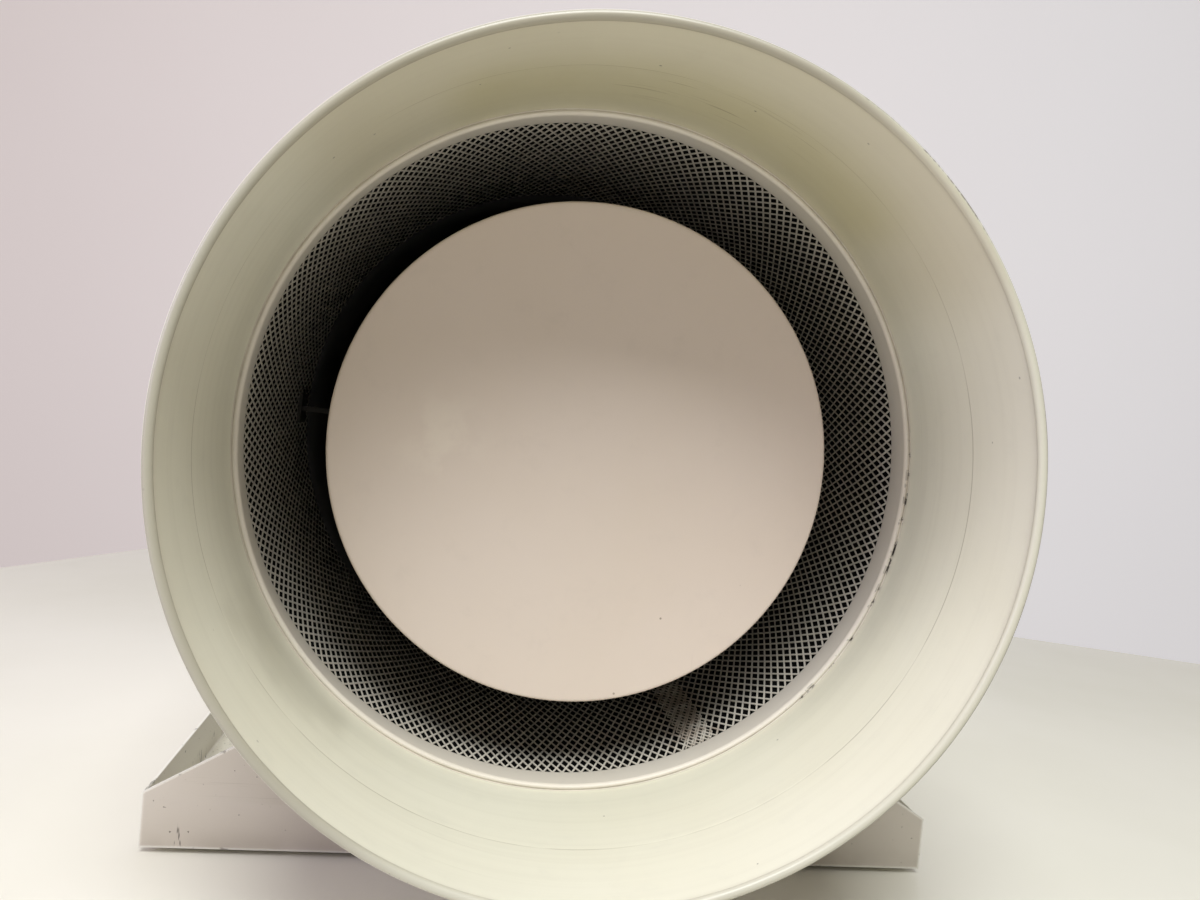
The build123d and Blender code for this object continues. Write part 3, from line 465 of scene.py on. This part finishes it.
def stand_paint(name, colour):
    """The stand's enamel: darker in patches near the table, with a painted highlight and chips
    along its edges, flecked and scratched.
    """
    paint = enamel(name, colour, 0.42, seed=120)
    parts = paint.node("ShaderNodeSeparateXYZ", {0: paint.here})
    across, height = parts.outputs[0], parts.outputs[2]
    # darker in patches near the table
    low = paint.ease(height, 0.016, 0.003)
    paint.tint(srgb(142, 132, 114), low, paint.spots(0.35, 0.65, 35.0, 4.0, seed=123), 0.24)
    light_and_wear = paint.edges(0.002, 0.965, 0.997)
    bare = paint.times(light_and_wear, paint.spots(0.60, 0.66, 110.0, 4.0, seed=126, rough=0.6))
    # painted highlight along the convex edges; the same edges carry the chips
    paint.tint(srgb(250, 249, 242), light_and_wear, 0.8)
    paint.tint(CHIP_DARK, bare, 0.85)

    # flecks all over, and upright ticks at the lower left
    flecks = paint.spots(0.71, 0.73, 420.0, 3.0, seed=129, rough=0.6)
    ticks = paint.times(
        paint.spots(0.66, 0.70, 1.0, 2.0, stretch=(520, 520, 70), seed=133),
        paint.band(height, 0.004, 0.014, 0.002),
        paint.ease(across, -HALF_WIDTH + 0.030, -HALF_WIDTH + 0.024),
    )
    chips = paint.math("MAXIMUM", flecks, ticks)
    paint.tint(CHIP_DARK, chips, 0.8)
    lines = paint.spots(0.70, 0.76, 1.0, 2.0, stretch=(14, 14, 700), seed=131)
    paint.tint(srgb(146, 136, 120), lines, 0.22)
    gone = paint.math("MAXIMUM", chips, bare)
    paint.bump(paint.math("SUBTRACT", 1.0, gone), 0.00012, 0.8)
    return paint.painted()


def mesh_paint():
    """Dull grey paint on expanded steel, with painted light in front and painted shade deeper in,
    browned near the lap.
    """
    paint = Finish("mesh_grey", Metallic=0.0)
    drum = paint.on_drum()
    depth = drum[0]
    paint.colour = srgb(206, 200, 191)
    paint.tint(srgb(224, 217, 207), paint.spots(0.3, 0.7, 45.0, 4.0, seed=140))
    # painted light: paler near the front, where the cream tube lights the strands
    paint.tint(srgb(226, 219, 208), paint.ease(depth, SLEEVE_FRONT + 0.022, SLEEVE_FRONT), 0.45)
    # painted shade: darker deeper in, behind the disc
    paint.tint(srgb(120, 118, 114), paint.ease(depth, SLEEVE_FRONT + 0.06, SLEEVE_BACK), 0.5)
    rust = paint.spots(0.40, 0.6, 90.0, 4.0, seed=143)
    paint.tint(srgb(140, 112, 90), paint.sector(drum, LAP_ANGLE, 5.5), rust, 0.5)
    paint.set("Roughness", paint.spread(paint.noise(200.0, 3.0, seed=146), 0.3, 0.35))
    paint.bump(paint.noise(1500.0, 2.0), 0.00004, 0.6)
    return paint.painted()


def black_satin(name, clean, dusty):
    """Satin black paint under patches of dust."""
    paint = Finish(name, Specular_IOR_Level=0.35)
    dust = paint.spots(0.48, 0.75, 30.0, 6.0, seed=160, rough=0.65)
    paint.colour = srgb(*clean)
    paint.tint(srgb(*dusty), dust, 0.5)
    paint.set("Roughness", paint.spread(dust, 0.3, 0.42))
    paint.bump(paint.noise(700.0, 2.0, seed=161), 0.00003, 0.5)
    return paint.painted()


def felt():
    """Black fibre felt."""
    cloth = Finish("liner_felt", Specular_IOR_Level=0.05)
    fibres = cloth.noise(2600.0, 5.0, seed=170, rough=0.7)
    cloth.colour = srgb(4, 4, 4)
    cloth.tint(srgb(16, 15, 15), fibres)
    cloth.set("Roughness", cloth.spread(fibres, 0.1, 0.88))
    cloth.bump(fibres, 0.0003, 0.8)
    return cloth.painted()


def stained_metal(name, bright, dull, seed):
    """Bare or plated metal with dull stains."""
    metal = Finish(name, Metallic=0.9)
    stain = metal.spots(0.4, 0.7, 80.0, 5.0, seed=seed, rough=0.6)
    metal.colour = srgb(*bright)
    metal.tint(srgb(*dull), stain)
    metal.set("Roughness", metal.spread(stain, 0.22, 0.28))
    metal.bump(metal.noise(900.0, 3.0, seed=seed + 1), 0.00003, 0.6)
    return metal.painted()


def moulded(name, colour, pale, roughness, grain, seed):
    """Rubber, plastic, mica or ceramic: one colour with dust and a grain."""
    stuff = Finish(name)
    dust = stuff.spots(0.5, 0.78, 55.0, 6.0, seed=seed, rough=0.65)
    stuff.colour = srgb(*colour)
    stuff.tint(srgb(*pale), dust, 0.55)
    stuff.set("Roughness", stuff.spread(dust, 0.15, roughness))
    stuff.bump(stuff.noise(grain, 4.0, seed=seed + 1, rough=0.6), 0.25 / grain, 0.5)
    return stuff.painted()


def foam():
    """Open-celled filter foam."""
    stuff = Finish("filter_foam")
    pores = stuff.cells(420.0)
    stuff.colour = srgb(12, 12, 13)
    stuff.tint(srgb(58, 58, 58), stuff.ease(pores, 0.15, 0.55))
    stuff.set("Roughness", stuff.spread(pores, 0.1, 0.85))
    stuff.bump(pores, 0.0012, 0.9)
    return stuff.painted()


def wound_wire(name, colour, dark, pitch):
    """Wire wound in close turns, seen as fine ridges round the coil."""
    stuff = Finish(name, Metallic=0.6)
    turns = stuff.noise(pitch, 1.0, stretch=(1, 0.08, 1), seed=201)
    stuff.colour = srgb(*dark)
    stuff.tint(srgb(*colour), stuff.ease(turns, 0.35, 0.65))
    stuff.set("Roughness", stuff.spread(turns, 0.2, 0.3))
    stuff.bump(turns, 0.0004, 0.8)
    return stuff.painted()


def table_top():
    """Pale painted table."""
    top = Finish("table_top")
    top.colour = srgb(229, 226, 214)
    top.tint(srgb(236, 233, 223), top.spots(0.3, 0.7, 3.0, 4.0))
    top.set("Roughness", top.spread(top.noise(25.0, 4.0), 0.15, 0.3))
    top.bump(top.noise(300.0, 3.0), 0.00003, 0.4)
    return top.painted()


def wall_paint():
    """Pale wall that glows a little, more to the right, as a lit backdrop does."""
    wall = Finish("wall_paint", Emission_Strength=0.40)
    wall.colour = srgb(222, 215, 215)
    wall.tint(srgb(227, 221, 221), wall.noise(2.0, 3.0))
    wall.set("Roughness", wall.spread(wall.noise(20.0, 3.0), 0.1, 0.8))
    wall.bump(wall.noise(350.0, 3.0), 0.0001, 0.3)
    across = wall.node("ShaderNodeSeparateXYZ", {0: wall.here}).outputs[0]
    left, right = (0.77, 0.66, 0.62, 1), (1.1, 1.1, 1.12, 1)
    wall.set("Emission Color", wall.mix(wall.ease(across, -1.6, 2.0), left, right))
    return wall.painted()


# ---- drum, collar, fan ring and disc ----
ROUGH_ANGLE, ROUGH_SPREAD = math.radians(58), math.radians(15)


def drum_shift(radius, angle, depth):
    """Slight dents in the sheet, and a rougher rolled edge at the upper right."""
    spot = place(radius, angle, depth)
    dent = 0.00016 * noise.noise(spot * 11) + 0.00006 * noise.noise(spot * 45)
    rim = max(0.0, 1 - depth / (6 * MM))
    off = (angle - ROUGH_ANGLE) / ROUGH_SPREAD
    rough = rim * math.exp(-off * off) * 0.00018 * noise.noise(spot * 420)
    return dent + rough + rim * (0.00004 * noise.noise(spot * 60) - 0.0001)


def make_drum():
    """The drum's sheet with its crease and its rolled front edge, which holds the wire."""
    roll_start, roll_end = 112, 360 + math.degrees(math.acos(SHEET / ROLL))
    groove, bite = 0.3 * MM, 0.09 * MM
    before, after = CREASE_DEPTH - groove, CREASE_DEPTH + groove
    roll = arc(WALL, ROLL, ROLL, roll_start, roll_end, 26)
    inner = straight(WALL, DRUM_END, after, 24)
    inner += [(WALL, after), (WALL + bite, CREASE_DEPTH), (WALL, before)]
    inner += straight(WALL, before, roll[0][1], 5)
    outer = straight(OUTER_WALL, roll[-1][1], DRUM_END, 30)
    drum = lathe("drum_shell", inner + roll + outer, shift=drum_shift)
    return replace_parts(drum or drum, "drum_casing", "rim_wire")


def make_collar():
    """The collar's band with its bead, pressed against the drum's wall."""
    outer = WALL - 0.02 * MM
    centre = WALL - BEAD
    meet, bead_end = math.degrees(math.acos((SLEEVE_RADIUS - centre) / BEAD)), 318
    edge = 0.3 * MM
    outline = [(outer, SLEEVE_FRONT), (SLEEVE_RADIUS + edge, SLEEVE_FRONT)]
    outline += arc(SLEEVE_RADIUS + edge, SLEEVE_FRONT - edge, edge, 90, 180, 4)[1:]
    outline += arc(centre, BEAD_DEPTH, BEAD, meet, bead_end, 22, BEAD_STRETCH)
    outline += [(outer, BEAD_DEPTH - 0.95 * BEAD * BEAD_STRETCH), (outer, SLEEVE_FRONT - 1 * MM)]
    collar = lathe("collar_band", outline, shift=lambda r, a, d: drum_shift(WALL, a, d))
    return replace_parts(collar, "inner_collar")


def make_fan_ring():
    """The black ring with a rounded lip that leads the air into the fan."""
    front, back = depth_range("fan_shroud")
    lip, sheet = 16 * MM, 1.5 * MM
    turn = front + lip
    inner = WALL - lip
    outline = arc(WALL, turn, lip, 270, 180, 24) + [(inner, back - 1 * MM)]
    outline += arc(inner + sheet, back - sheet, sheet, 170, 90, 5)
    outline += list(reversed(arc(WALL, turn, lip - sheet, 270, 180, 24)))
    ring = lathe("fan_ring", outline)
    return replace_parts(ring, "fan_shroud")


def make_disc():
    """The pressed disc: a nearly flat face, a round edge and a short flange behind it."""
    low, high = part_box("deflector_disc")
    radius = round((high.x - low.x) / 2, 4)
    front, back = depth_range("deflector_disc")
    edge, crown, hem = 1.5 * MM, 0.25 * MM, 0.6 * MM
    steps = 24

    def face(r):
        return front + crown * (r / radius) ** 4

    outline = [(radius * i / steps, face(radius * i / steps)) for i in range(steps)]
    outline = [p for p in outline if p[0] < radius - edge]
    outline += arc(radius - edge, front + crown + edge, edge, 270, 360, 8)
    outline += [(radius, back - 0.4 * MM)] + arc(radius - hem, back - hem, hem, 20, 160, 6)
    outline += [(radius - SHEET, front + 3 * MM), (radius - SHEET - 1 * MM, front + edge)]
    outline += [(0, front + edge)]
    disc = lathe("deflector_plate", outline, body="deflector")
    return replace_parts(disc, "deflector_disc")


# ---- expanded-mesh sleeve ----
DIAMONDS_ROUND = 210
DIAMOND_LENGTH = 12.4 * MM
HOLE_SHARE = 0.80
STRAND = 0.45 * MM  # thickness of the strands
WANDER = 0.03  # how far a hole's corner strays, as a share of the hole
LAP_ANGLE = -62.8  # degrees from the right
LAP_DEGREES = 4.6
LAP_STEP = 0.6 * MM  # how far the lap lies inside the sheet
LAP_PHASE = 0.37  # how far the lap's diamonds are out of step
CORNERS = ((-1, 0), (0, 1), (1, 0), (0, -1))


def diamonds(radius, first, count, phase):
    """Diamond lattice wrapped on a cylinder, as vertices and faces with a hole in each cell."""
    pitch = 2 * math.pi / DIAMONDS_ROUND
    rows = round((SLEEVE_BACK - SLEEVE_FRONT) / (DIAMOND_LENGTH / 2))
    length = 2 * (SLEEVE_BACK - SLEEVE_FRONT) / rows
    verts, faces = [], []
    for row in range(rows + 1):
        depth = SLEEVE_FRONT + row * length / 2
        for column in range(count):
            angle = first + (column + phase + 0.5 * (row % 2)) * pitch
            base = len(verts)
            for share in (1.0, HOLE_SHARE):
                for side, back in CORNERS:
                    spot = Vector((angle * 40 + side, depth * 300 + back, share))
                    wander = WANDER * noise.noise(spot) if share < 1 else 0
                    reach = share * (1 + wander)
                    turn = angle + side * reach * pitch / 2
                    verts.append(place(radius, turn, depth + back * reach * length / 2))
            for k in range(4):
                if (row == 0 and k > 1) or (row == rows and k < 2):
                    continue
                m = (k + 1) % 4
                faces.append((base + k, base + m, base + 4 + m, base + 4 + k))
    return verts, faces


def make_mesh_sheet(name, radius, first, count, phase):
    """A sheet of the mesh with the strands' thickness."""
    verts, faces = diamonds(radius, first, count, phase)
    sheet = piece_from(name, verts, faces, sharp=20, weld=2e-5)
    thick = sheet.modifiers.new("sheet", "SOLIDIFY")
    thick.thickness = STRAND
    thick.offset = 0
    apply_modifiers(sheet)
    smooth(sheet.data, 20)
    return sheet


# ---- stand ----
stand_low, stand_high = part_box("base_tray")
HALF_WIDTH = tenth_mm(stand_high.x)
STAND_BASE = tenth_mm(stand_low.z)
FLANGE_TOP = tenth_mm(stand_high.z)
STAND_SHEET = 1.5 * MM


def make_tray():
    """The tray, bent from one sheet with round corners and open to the top."""
    outer_bend, inner_bend = 2.6 * MM, 1.1 * MM
    bend_steps, cuts = 6, 24

    def path(reach, floor, bend):
        points = [(-reach, FLANGE_TOP)]
        for centre, first, last in ((-reach + bend, 180, 270), (reach - bend, 270, 360)):
            for i in range(bend_steps + 1):
                angle = math.radians(first + (last - first) * i / bend_steps)
                rise = floor + bend + bend * math.sin(angle)
                points.append((centre + bend * math.cos(angle), rise))
        return points + [(reach, FLANGE_TOP)]

    outline = path(HALF_WIDTH, STAND_BASE, outer_bend)
    inner = path(HALF_WIDTH - STAND_SHEET, STAND_BASE + STAND_SHEET, inner_bend)
    outline += list(reversed(inner))
    count = len(outline)
    ys = [stand_low.y + (stand_high.y - stand_low.y) * i / cuts for i in range(cuts + 1)]
    verts = [(x, y, z) for y in ys for x, z in outline]
    faces = [tuple(range(count)), tuple(range(cuts * count, (cuts + 1) * count))]
    for row in range(cuts):
        for k in range(count):
            m = (k + 1) % count
            a, b = row * count, (row + 1) * count
            faces.append((a + k, a + m, b + m, b + k))
    tray = piece_from("tray", verts, faces, sharp=30)
    round_edges(tray, 0.3 * MM, 50)
    smooth(tray.data, 30)
    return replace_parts(tray, "base_tray")


# ---- screws ----
HEAD_RADIUS = 4 * MM
HEAD_RINGS, HEAD_SIDES = 9, 32
DOME_POWER = 2.6  # how square the dome is
RECESS_FLOOR = 0.45  # as a share of the head's height
RECESS_HALF_WIDTH, RECESS_REACH = 0.12, 0.58  # as shares of the head's radius


def screw_head(verts, faces, centre, out, height):
    """Adds a domed screw head with a cross recess."""
    side = out.orthogonal().normalized()
    other = out.cross(side)
    base = len(verts)
    verts.append(centre + out * height * RECESS_FLOOR)
    for ring in range(1, HEAD_RINGS + 1):
        share = ring / HEAD_RINGS
        for k in range(HEAD_SIDES):
            angle = 2 * math.pi * k / HEAD_SIDES
            u, v = share * math.cos(angle), share * math.sin(angle)
            rise = math.sqrt(max(0.0, 1 - share**DOME_POWER))
            narrow, wide = sorted((abs(u), abs(v)))
            if narrow < RECESS_HALF_WIDTH and wide < RECESS_REACH:
                rise *= RECESS_FLOOR
            flat = side * u * HEAD_RADIUS + other * v * HEAD_RADIUS
            verts.append(centre + flat + out * rise * height)
    for k in range(HEAD_SIDES):
        m = (k + 1) % HEAD_SIDES
        faces.append((base, base + 1 + k, base + 1 + m))
        for ring in range(HEAD_RINGS - 1):
            a = base + 1 + ring * HEAD_SIDES
            faces.append((a + k, a + HEAD_SIDES + k, a + HEAD_SIDES + m, a + m))
    last = base + 1 + (HEAD_RINGS - 1) * HEAD_SIDES
    faces.append(tuple(last + k for k in range(HEAD_SIDES)))


def heads_round_drum(name, depth, count, turn, height):
    """Screw heads round the drum at one depth, the first at an angle in degrees."""
    verts, faces = [], []
    for index in range(count):
        angle = math.radians(turn + 360 * index / count)
        out = Vector((math.cos(angle), 0, math.sin(angle)))
        screw_head(verts, faces, place(OUTER_WALL - 0.1 * MM, angle, depth), out, height)
    return piece_from(name, verts, faces, sharp=40)


def make_screws():
    """The heads of the rear cover's and the motor mount's screws, round the drum."""
    cover = heads_round_drum("cover_screw_heads", DRUM_END - 6 * MM, 6, 30, 2.1 * MM)
    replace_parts(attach(cover, "dryer"), "cover_screws")
    low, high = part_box("mount_screws")
    middle = (low.y + high.y) / 2 - RIM_Y
    mount = heads_round_drum("mount_screw_heads", middle, 4, 45, 2.2 * MM)
    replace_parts(mount, "mount_screws")
    return [cover, mount]


# ---- intake grille ----
GRILLE_WIRE = 1.3 * MM  # the wire's radius
WIRE_SIDES = 8
OUTER_RING, FIRST_RING, RING_PITCH, INNER_RINGS = 0.148, 0.0145, 0.0103, 13
RING_STEPS = 160
SPOKES, FIRST_SPOKE = 8, 22.5
SPOKE_ENDS = (0.010, 0.149)
BOSS_RADIUS = 0.0142
BOSS_STEPS = 10


def make_grille():
    """Concentric rings of wire on eight spokes, with a plain boss in the middle."""
    front, back = depth_range("intake_grille")
    middle = back - GRILLE_WIRE
    verts, faces = [], []
    for radius in [OUTER_RING] + [FIRST_RING + RING_PITCH * i for i in range(INNER_RINGS)]:
        loop = arc(radius, middle, GRILLE_WIRE, 0, 315, WIRE_SIDES - 1)
        base = len(verts)
        for i in range(RING_STEPS):
            angle = 2 * math.pi * i / RING_STEPS
            verts += [place(r, angle, d) for r, d in loop]
        for i in range(RING_STEPS):
            a, b = base + i * WIRE_SIDES, base + (i + 1) % RING_STEPS * WIRE_SIDES
            for k in range(WIRE_SIDES):
                m = (k + 1) % WIRE_SIDES
                faces.append((a + k, b + k, b + m, a + m))
    for spoke in range(SPOKES):
        angle = math.radians(FIRST_SPOKE + 360 / SPOKES * spoke)
        out = Vector((math.cos(angle), 0, math.sin(angle)))
        side = Vector((-math.sin(angle), 0, math.cos(angle)))
        base = len(verts)
        for reach in SPOKE_ENDS:
            spot = place(0, 0, middle - 0.6 * GRILLE_WIRE) + out * reach
            for k in range(WIRE_SIDES):
                turn = 2 * math.pi * k / WIRE_SIDES
                deep = Vector((0, GRILLE_WIRE * math.sin(turn) * 0.8, 0))
                verts.append(spot + side * GRILLE_WIRE * math.cos(turn) + deep)
        ends = base, base + WIRE_SIDES
        for k in range(WIRE_SIDES):
            m = (k + 1) % WIRE_SIDES
            faces.append((ends[0] + k, ends[0] + m, ends[1] + m, ends[1] + k))
        faces += [tuple(end + k for k in range(WIRE_SIDES)) for end in ends]
    grille = piece_from("grille_wires", verts, faces, sharp=45, weld=1e-7)

    crown = back - 0.1 * MM
    outline = [(0, crown)]
    for i in range(1, BOSS_STEPS + 1):
        turn = math.radians(90 * i / BOSS_STEPS)
        outline.append((BOSS_RADIUS * math.sin(turn), middle + (crown - middle) * math.cos(turn)))
    outline += [(BOSS_RADIUS, front), (0, front)]
    boss = lathe("grille_boss", outline, segments=96)
    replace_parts(grille, "intake_grille")
    return [grille, boss]


# ---- heat knob ----
KNOB_STEPS, RIB_STEPS = 144, 4
RIB = 0.5 * MM


def make_knob():
    """A ribbed knob with a skirt and a pointer line."""
    low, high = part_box("heat_knob")
    shaft_low, shaft_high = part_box("selector_shaft")
    x, z = (low.x + high.x) / 2, (shaft_low.z + shaft_high.z) / 2
    front = low.y
    tall = high.y - low.y - 1.2 * MM
    skirt = (high.x - low.x) / 2
    grip = skirt - 2.4 * MM
    skirt_levels = [
        (skirt - 0.5 * MM, 0),
        (skirt, 0.5 * MM),
        (skirt, 2.2 * MM),
        (skirt - 0.8 * MM, 3.0 * MM),
    ]
    grip_levels = [(grip, 3.4 * MM), (grip - 0.3 * MM, tall - 1.2 * MM), (grip - 1.4 * MM, tall)]
    count = len(skirt_levels) + len(grip_levels) + 1
    verts, faces = [], []
    for k in range(KNOB_STEPS):
        angle = 2 * math.pi * k / KNOB_STEPS
        rib = RIB * (1 if (k // RIB_STEPS) % 2 else -1)
        levels = skirt_levels + [(r + rib, rise) for r, rise in grip_levels] + [(0, tall)]
        for reach, rise in levels:
            verts.append((x + reach * math.cos(angle), front + rise, z + reach * math.sin(angle)))
        a, b = k * count, (k + 1) % KNOB_STEPS * count
        faces += [(a + i, b + i, b + i + 1, a + i + 1) for i in range(count - 1)]
    faces.append(tuple(k * count for k in range(KNOB_STEPS)))
    knob = piece_from("knob", verts, faces, body="selector", sharp=32)

    line_x = (x - 0.8 * MM, x + 0.8 * MM)
    line_y = (front + tall - 0.3 * MM, front + tall + 0.35 * MM)
    line_z = (z + 1.5 * MM, z + grip - 2.2 * MM)
    corners = [(a, b, c) for a in line_x for b in line_y for c in line_z]
    box = [(0, 1, 3, 2), (4, 6, 7, 5), (0, 4, 5, 1), (2, 3, 7, 6), (0, 2, 6, 4), (1, 5, 7, 3)]
    line = piece_from("knob_line", corners, box, body="selector")
    round_edges(line, 0.25 * MM, 30)
    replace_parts(knob, "heat_knob")
    return knob, line


# ---- the pieces ----
drum_piece = make_drum()
collar_piece = make_collar()
fan_ring = make_fan_ring()
disc_piece = make_disc()
sheet_radius = SLEEVE_RADIUS + STRAND / 2
whole_sheet = make_mesh_sheet("mesh_sheet", sheet_radius, 0.0, DIAMONDS_ROUND, 0.0)
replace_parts(whole_sheet, "mesh_sleeve")
lap_cells = round(LAP_DEGREES / 360 * DIAMONDS_ROUND)
lap_start = math.radians(LAP_ANGLE - LAP_DEGREES / 2)
lap_sheet = make_mesh_sheet("mesh_lap", sheet_radius - LAP_STEP, lap_start, lap_cells, LAP_PHASE)
tray_piece = make_tray()
panels = []
for saddle in ("front_saddle", "rear_saddle"):
    panel = softened(saddle, saddle.replace("saddle", "panel"), 0.25 * MM)
    panels.append(panel)
cover_plate = softened("rear_cover", "cover_plate", 0.35 * MM)
screws = make_screws()
grille_pieces = make_grille()
knob_piece, knob_line = make_knob()

# slot, and each node with the radius of its softened edges in millimetres
SOFT_EDGED = {
    "plated_steel": {
        "front_bracket": 0.3, "rear_bracket": 0.3, "wiring_box": 0.3, "inlet_cover": 0.3,
    },
    "black_plastic": {"switch_body": 0.35, "inlet_socket": 0.35, "terminal_block": 0.3},
}
shells = {}
for slot_name, rows in SOFT_EDGED.items():
    shells[slot_name] = []
    for node, edge in rows.items():
        piece = softened(node, node + "_shell", edge * MM)
        shells[slot_name].append(piece)
rocker_piece = softened("power_rocker", "rocker", 0.3 * MM, body="rocker")


# ---- what each piece is made of ----
def dress(material, *names):
    """Gives a material to pieces or CAD nodes."""
    for name in names:
        target = nodes[name] if isinstance(name, str) else name
        target.data.materials.clear()
        target.data.materials.append(material)


zinc = stained_metal("zinc_plate", (196, 194, 186), (162, 158, 148), 180.0)
satin = black_satin("black_satin", (16, 16, 16), (50, 48, 46))
dusty_black = black_satin("dusty_black", (58, 55, 51), (92, 87, 80))
aluminium = stained_metal("cast_aluminium", (188, 188, 186), (150, 149, 146), 190.0)
laminations = stained_metal("laminations", (96, 96, 98), (70, 62, 56), 195.0)
plastic = moulded("black_plastic", (30, 30, 31), (78, 75, 71), 0.42, 700.0, 210)
rubber = moulded("black_rubber", (26, 26, 26), (88, 84, 78), 0.62, 500.0, 220)
white_mark = moulded("white_mark", (214, 212, 206), (170, 166, 158), 0.5, 900.0, 215)
mica = moulded("mica_board", (150, 130, 96), (190, 178, 150), 0.5, 160.0, 230)
ceramic = moulded("ceramic", (222, 216, 202), (176, 168, 152), 0.35, 400.0, 240)

dress(drum_paint(), drum_piece)
dress(collar_paint(), collar_piece)
dress(disc_paint(), disc_piece)
# lit and shaded copies of the stand's paint: painted shade darkens the front and rear panels (the
# rear cover shares it), painted light makes the tray paler
dress(stand_paint("stand_enamel_shaded", srgb(198, 190, 179)), cover_plate, *panels)
dress(stand_paint("tray_enamel_lit", srgb(238, 236, 224)), tray_piece)
dress(mesh_paint(), whole_sheet, lap_sheet)
dress(satin, fan_ring, *grille_pieces)
dress(dusty_black, "spider_bracket")
dress(felt(), "acoustic_liner")
dress(zinc, "deflector_spindle", "spindle_lock_nut", "spider_nut", "motor_bearings", "fan_shaft")
dress(zinc, "impeller_nut", "motor_mount", "bracket_screws", "tray_rivets", "feet_screws")
dress(zinc, "selector_shaft", *shells["plated_steel"], *screws)
dress(aluminium, "deflector_hub", "thermal_cutout", "motor_can", "motor_end_cap")
dress(laminations, "stator_core", "rotor_core")
dress(plastic, "impeller", "selector_body", "lead_conduit")
dress(plastic, knob_piece, rocker_piece, *shells["black_plastic"])
dress(white_mark, knob_line)
dress(rubber, "front_edge_trim", "rear_edge_trim", "rubber_feet", "lead_grommet")
dress(mica, "heater_boards")
dress(ceramic, "heater_spacers")
dress(foam(), "dust_filter")
dress(wound_wire("resistance_wire", (120, 112, 106), (48, 42, 40), 900.0), "heater_elements")
dress(wound_wire("copper_wire", (184, 104, 60), (96, 48, 26), 800.0), "stator_windings")


# ---- table, wall, lights and camera ----
CAMERA_PLACE = Vector((-56.4 * MM, RIM_Y - 354 * MM, AXIS_Z + 27.3 * MM))
CAMERA_YAW, CAMERA_PITCH, CAMERA_ROLL = -7.60, 2.80, 5.19
CAMERA_LENS, SENSOR_WIDTH = 29.1, 36
TABLE_OUTLINE = ((-4.2, -6.0), (6.0, -6.0), (6.0, -2.0), (-0.32, 0.93))
WALL_OUTLINE = ((-7.0, 2.2), (7.0, 2.2), (7.0, 2.3), (-7.0, 2.3))
LIGHT_AIM = Vector((0, 0, AXIS_Z))
ROOM_COLOUR, ROOM_STRENGTH = (1.0, 0.93, 0.88, 1), 0.17


def slab(name, outline, low, high, material):
    """An upright prism that stands for the table or the wall."""
    count = len(outline)
    verts = [(x, y, z) for z in (low, high) for x, y in outline]
    faces = [tuple(range(count)), tuple(range(count, 2 * count))]
    faces += [(k, (k + 1) % count, (k + 1) % count + count, k + count) for k in range(count)]
    mesh = bpy.data.meshes.new(name)
    mesh.from_pydata(verts, [], faces)
    mesh.materials.append(material)
    made = add_object(name, mesh)


def area_light(name, spot, size, power, colour):
    """A rectangular lamp that points at the middle of the drum's axis."""
    data = bpy.data.lights.new(name, "AREA")
    data.shape, data.size, data.size_y = "RECTANGLE", size[0], size[1]
    data.energy, data.color = power, colour
    lamp = add_object(name, data)
    lamp.location = spot
    lamp.rotation_euler = (LIGHT_AIM - Vector(spot)).to_track_quat("-Z", "Y").to_euler()


slab("table", TABLE_OUTLINE, -0.04, 0, table_top())
slab("wall", WALL_OUTLINE, -2.0, 4.0, wall_paint())
area_light("overhead", (-0.12, -1.1, 1.65), (1.0, 0.8), 37.5, (0.975, 1.0, 0.975))
area_light("left_window", (-1.9, -0.7, 0.8), (1.2, 1.0), 14, (1.0, 0.92, 1.25))

world = bpy.data.worlds.new("room")
bpy.context.scene.world = world
world.use_nodes = True
background = world.node_tree.nodes["Background"]
background.inputs["Color"].default_value = ROOM_COLOUR
background.inputs["Strength"].default_value = ROOM_STRENGTH

lens = bpy.data.cameras.new("photo_view")
lens.lens, lens.sensor_width, lens.sensor_fit = CAMERA_LENS, SENSOR_WIDTH, "HORIZONTAL"
lens.clip_start = 0.01
camera = add_object("photo_view", lens)
camera.matrix_world = (
    Matrix.Translation(CAMERA_PLACE)
    @ Matrix.Rotation(math.radians(CAMERA_YAW), 4, "Z")
    @ Matrix.Rotation(math.radians(-CAMERA_PITCH), 4, "X")
    @ Matrix.Rotation(math.radians(-CAMERA_ROLL), 4, "Y")
    @ Matrix.Rotation(math.radians(90), 4, "X")
)
bpy.context.scene.camera = camera
bpy.context.scene.view_settings.view_transform = "Standard"
